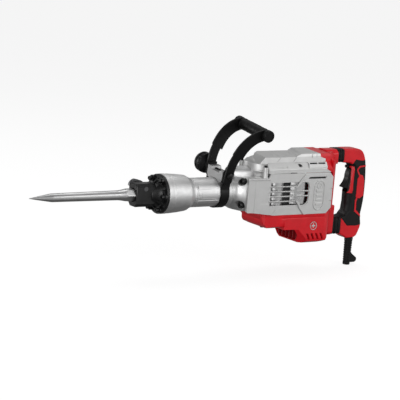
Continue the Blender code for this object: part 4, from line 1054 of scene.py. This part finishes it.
def make_bellows():
    """Two boots of soft folds, stretched between the hammer and the rear handle."""
    folds, half = 3, 22
    for name, low, high, z0, z1 in (("upper", 625.2, 650.8, 71, 108), ("lower", 627.2, 660.8, -127,
            -79)):
        rings = []
        pitch = (high - low) / folds
        for k in range(folds):
            for share, sink in ((0.03, 3.4), (0.16, 0.7), (0.3, 0), (0.7, 0), (0.84, 0.7),
                    (0.97, 3.4)):
                rings.append(rounded_ring(low + pitch * (k + share), half - sink, z0 + sink,
                    z1 - sink, 9))
        piece = loft("bellows_" + name, rings)
        cut(piece, rod("c", 600, 700, 8, at=(0, 0, DAMPER_Z[name]), sides=24))
        piece.data.transform(TO_FRAME)
        paint(piece, "rubber")
        smooth(piece, 50)
        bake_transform(piece)
        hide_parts(name + "_bellows")


GRIP_FRONT = [(-74, 664), (-64, 674), (-40, 676.6), (-12, 676), (6, 677.6), (26, 681), (46, 684),
    (58, 684.6), (66, 676)]


def grip_corner(side):
    """A cutter that rounds one front corner of the grip, fading out at both ends."""
    curve = [(-4, 3), (0.8, 5), (2, 8.6), (4.4, 12), (8, 15.2), (13, 18), (19, 20), (19, 30),
        (-4, 30)]
    return loft("c", [[(front + along, side * across, z) for along, across in curve]
        for z, front in GRIP_FRONT])


def make_handle():
    """Red cap and foot with a black moulding between them that swells at both corners."""
    whole = smooth_path([(650, 108), (675, 108.4), (699, 107.5), (713, 102.5), (722, 92), (728, 77),
        (731, 60), (734, 30), (735, 0), (734.4, -30), (731.5, -56), (728.5, -74), (730, -88),
        (732.6, -104), (729, -118), (721, -134), (711, -140)], 4)
    whole += [(686, -140.4), (672, -133), (660.4, -128.4), (660.4, -79)]
    whole += smooth_path([(666, -79), (673, -76), (676, -66), (676.6, -40), (676, -12), (677.6, 6),
        (681, 26), (684, 46), (684.6, 58), (681, 66.5), (672, 69.4), (650, 69.6)], 4)
    body = prism("handle_body", whole, -19, 19)
    bevel(body, 6.4, 5, 50)
    cap = copy_of(body, "handle_cap")
    common(cap, prism("c", [(640, 120), (740, 120), (740, 80), (724, 76), (716, 74), (694, 78),
        (684, 66), (668, 62), (640, 62)], -40, 40))
    foot = copy_of(body, "handle_foot")
    common(foot, prism("c", [(640, -70), (650, -78), (662, -84), (684, -105.6), (716, -106.4),
        (745, -101), (745, -150), (640, -150)], -40, 40))
    grip = copy_of(body, "handle_grip")
    for vertex in grip.data.vertices:
        vertex.co.y *= 1.02
    cut(grip, prism("c", [(640, 121), (741, 121), (741, 80.5), (724, 76.5), (716, 74.5),
        (694, 78.5), (684, 66.5), (668, 62.5), (640, 62.5)], -41, 41))
    cut(grip, prism("c", [(641, -69), (650, -77.5), (662, -83.5), (684, -105), (716, -106),
        (746, -100.5), (746, -151), (641, -151)], -41, 41))
    cut(grip, prism("c", [(655, 54), (684.5, 54), (691, 52), (691, -12), (684, -13), (655, -13)],
        -10.4, 10.4))
    cut(grip, *[grip_corner(side) for side in (-1, 1)])
    cut(grip, rod("c", 660, 706, 4.9, at=LOCK_AT, sides=32))
    discard(body)
    for piece in (cap, foot, grip):
        cut(piece, *[rod("c", 640, 681, 6.4, at=(0, 0, z), sides=32) for z in DAMPER_Z.values()])
    stripe = copy_of(grip, "stripe_source")
    for vertex in stripe.data.vertices:
        vertex.co.y *= 1.035
        vertex.co.x += 0.5 if vertex.co.x > 712 else 0
    stripes = []
    for name, outline in (("upper", [(736, 63), (708, 60), (701, 52), (701, 46), (709, 33),
            (713, 35.5), (705, 47), (705, 50), (711, 56), (736, 58.6)]),
            ("panel", [(712, 36), (722, 34), (729, 20), (731, -22), (719, -30), (707, -29),
            (705, -26), (705, 24)]), ("lower", [(707, -28), (711, -30), (708, -38), (709, -62),
            (733, -82), (733, -86), (704, -66), (703, -36)])):
        strip = common(copy_of(stripe, "c"), prism("c", outline, -40, 40))
        bevel(strip, 0.35)
        strip.name = "grip_stripe_" + name
        stripes.append(strip)
    band = common(copy_of(stripe, "c"), prism("c", rounded([(684.6, 58.6), (692.5, 58.6),
        (694.6, 50), (692, 10), (692.6, -6), (690, -15), (678, -15.6), (683, -8), (685.4, 10),
        (687, 40)], 1.5), -40, 40))
    band.name = "grip_stripe_front"
    discard(stripe)
    bevel(grip, 0.6, 2, 40)
    bevel(cap, 0.8, 2, 40)
    bevel(foot, 0.8, 2, 40)
    finish(grip, "rear_handle", "rubber", ["grip_overmold"])
    finish(cap, "rear_handle", "red", ["handle_shell_near"])
    finish(foot, "rear_handle", "red", ["handle_shell_far"])
    for strip in stripes + [band]:
        finish(strip, "rear_handle", "red")


def make_controls():
    outline = smooth_path([(686, 50.5), (683, 44), (680.4, 34), (679.6, 24), (675.6, 14), (669, 5),
        (666, 1.4), (667.4, -1), (672, -1.4), (678, -3.6), (684, -6.6)], 4) + [(690, -8), (694, 10),
        (700, 44), (697, 50.5)]
    trigger = prism("trigger_blade", outline, -9.8, 9.8)
    bevel(trigger, 2.2, 3, 40)
    finish(trigger, "trigger_lever", "plastic", ["trigger"])
    button = lathe("lock_knob", [(674, 0), (674, 3.2), (675, 4.3), (677, 4.5), (698, 4.5),
        (698, 0)], at=LOCK_AT, sides=40)
    finish(button, "lock", "plastic", ["lock_button"])


def make_cable_guard():
    profile = [(-219, 5), (-219, 8.6), (-218, 9.6), (-216, 10)]
    for k in range(9):
        z = -208 + 6.6 * k
        r = 10.1 + 0.14 * k
        profile += [(z - 1.6, r), (z - 1.0, r - 1.1), (z + 1.0, r - 1.1), (z + 1.6, r + 0.05)]
    profile += [(-146, 11.8), (-134, 12), (-134, 5)]
    guard = lathe("cable_sleeve", profile, axis="Z", at=(710, 0, 0), sides=64, closed=True)
    finish(guard, "rear_handle", "rubber", ["cable_guard"], angle=40)
    lug = prism("cable_sleeve_lug", rounded([(717.5, -181), (722, -188), (739.6, -200.6),
        (740, -208), (734, -212.8), (718.6, -213)], 2), -6, 6)
    bevel(lug, 1.8, 3)
    finish(lug, "rear_handle", "rubber")


# What stays as the CAD made it

INSIDE = {
    "steel": ["tool_sleeve", "impact_bolt", "cylinder_liner", "striker", "piston", "piston_pin",
              "connecting_rod", "crankshaft", "crank_gear", "idler_gear", "armature", "stator",
              "upper_bearing", "lower_bearing", "grip_rod", "damper_rod_upper",
              "damper_rod_lower"],
    "cast": ["motor_case"], "copper": ["commutator"], "plastic": ["fan", "switch_body"]}


def finish_cad_nodes():
    for look, names in INSIDE.items():
        for name in names:
            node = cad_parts[name]
            node.data.materials.clear()
            node.data.materials.append(LOOK[look])


# Studio

SKY = ((0.2, 0.11), (0.38, 0.40), (0.52, 0.52), (0.68, 0.34), (1.0, 0.24))    # height, grey
SKY_SEEN = (0.9, 0.9, 0.9)


def make_world():
    """Soft grey surroundings, darker below the horizon; the camera itself sees a pale one."""
    world = bpy.data.worlds.new("studio")
    bpy.context.scene.world = world
    world.use_nodes = True
    nodes, links = world.node_tree.nodes, world.node_tree.links
    direction = nodes.new("ShaderNodeTexCoord")
    parts = nodes.new("ShaderNodeSeparateXYZ")
    ramp = nodes.new("ShaderNodeValToRGB")
    height = nodes.new("ShaderNodeMapRange")
    height.inputs["From Min"].default_value = -1
    links.new(direction.outputs["Generated"], parts.inputs["Vector"])
    links.new(parts.outputs["Z"], height.inputs["Value"])
    links.new(height.outputs["Result"], ramp.inputs["Fac"])
    stops = ramp.color_ramp.elements
    for place, grey in SKY[1:-1]:
        stops.new(place).color = (grey, grey, grey, 1)
    for stop, (place, grey) in ((stops[0], SKY[0]), (stops[len(SKY) - 1], SKY[-1])):
        stop.position, stop.color = place, (grey, grey, grey, 1)
    back = nodes["Background"]
    rays = nodes.new("ShaderNodeLightPath")
    seen = blend_colours(nodes, links, rays.outputs["Is Camera Ray"], (1, 1, 1), SKY_SEEN)
    links.new(ramp.outputs["Color"], seen.node.inputs["A"])
    links.new(seen, back.inputs["Color"])
    back.inputs["Strength"].default_value = 1.0


FLOOR_HALF, FLOOR_GAP, FLOOR_GLOW = 40, 0.0005, 0.82


def make_floor():
    """A pale floor with its own glow, which the tool's gloss doesn't mirror."""
    floor_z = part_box("cable_guard")[0].z - FLOOR_GAP
    corners = rectangle(-FLOOR_HALF, FLOOR_HALF, -FLOOR_HALF, FLOOR_HALF)
    floor = new_object("studio_floor", [(x, y, floor_z) for x, y in corners], [(0, 1, 2, 3)])
    made, nodes, links, shader = new_material("studio_floor", 0.9, 0.0)
    tint = blend_colours(nodes, links, noise(nodes, links, 3, 2), (0.30, 0.30, 0.30),
        (0.31, 0.31, 0.31))
    links.new(tint, shader.inputs["Base Color"])
    shader.inputs["Specular IOR Level"].default_value = 0
    shader.inputs["Emission Color"].default_value = (1, 1, 1, 1)
    shader.inputs["Emission Strength"].default_value = FLOOR_GLOW
    floor.data.materials.append(made)
    floor.visible_glossy = False
    floor.visible_diffuse = False


LIGHTS = (                    # name, place, aim, width, height, watts
    ("key", (1.7, -2.4, 1.2), (0.0, 0, 0.1), 3.2, 2.2, 34),
    ("front", (-2.5, -2.1, 0.6), (-0.1, 0, 0.1), 2.2, 1.6, 36),
    ("top", (0.2, 0.6, 2.6), (0, 0, 0.1), 1.8, 1.4, 16),
    ("back", (-1.9, 2.4, 0.5), (-0.1, 0, 0.1), 1.4, 0.8, 12))


def make_lights():
    for name, spot, aim, size_x, size_y, power in LIGHTS:
        light = bpy.data.lights.new(name, "AREA")
        light.shape = "RECTANGLE"
        light.size, light.size_y, light.energy = size_x, size_y, power
        lamp = bpy.data.objects.new(name, light)
        lamp.location = spot
        lamp.rotation_euler = (Vector(aim) - Vector(spot)).to_track_quat("-Z", "Y").to_euler()
        bpy.context.scene.collection.objects.link(lamp)


CAMERA_AIM, CAMERA_DISTANCE = (300, 0, 0), 4580         # millimetres, in the tool's own frame
SENSOR, LENS, SHIFT = 36, 158.13, (-0.0795, -0.02275)


def make_camera():
    azimuth, elevation, roll = radians(36), radians(10), radians(5)
    back = Vector((-sin(azimuth) * cos(elevation), -cos(azimuth) * cos(elevation), sin(elevation)))
    right = Vector((cos(azimuth), -sin(azimuth), 0))
    up = back.cross(right)
    side = right * cos(roll) + up * sin(roll)
    top = up * cos(roll) - right * sin(roll)
    turn = Matrix((side, top, back)).transposed().to_4x4()
    spot = TO_FRAME @ (Vector(CAMERA_AIM) + back * CAMERA_DISTANCE)
    data = bpy.data.cameras.new("camera")
    data.lens, data.sensor_width = LENS, SENSOR
    data.shift_x, data.shift_y = SHIFT
    data.clip_end = 60
    camera = bpy.data.objects.new("camera", data)
    camera.matrix_world = Matrix.Translation(spot) @ turn
    bpy.context.scene.collection.objects.link(camera)
    bpy.context.scene.camera = camera


bpy.context.scene.view_settings.view_transform = "Standard"
make_camera()
make_world()
make_floor()
make_lights()
make_chisel()
make_nose()
make_latch()
make_front_case()
make_barrel()
make_side_handle()
make_crank_case()
for SIDE, WORD in SIDES:
    make_side_cover(SIDE, WORD)
make_top_cover()
make_lower_cover()
make_motor_cover()
make_rear_housing()
make_bellows()
make_handle()
make_controls()
make_cable_guard()
finish_cad_nodes()

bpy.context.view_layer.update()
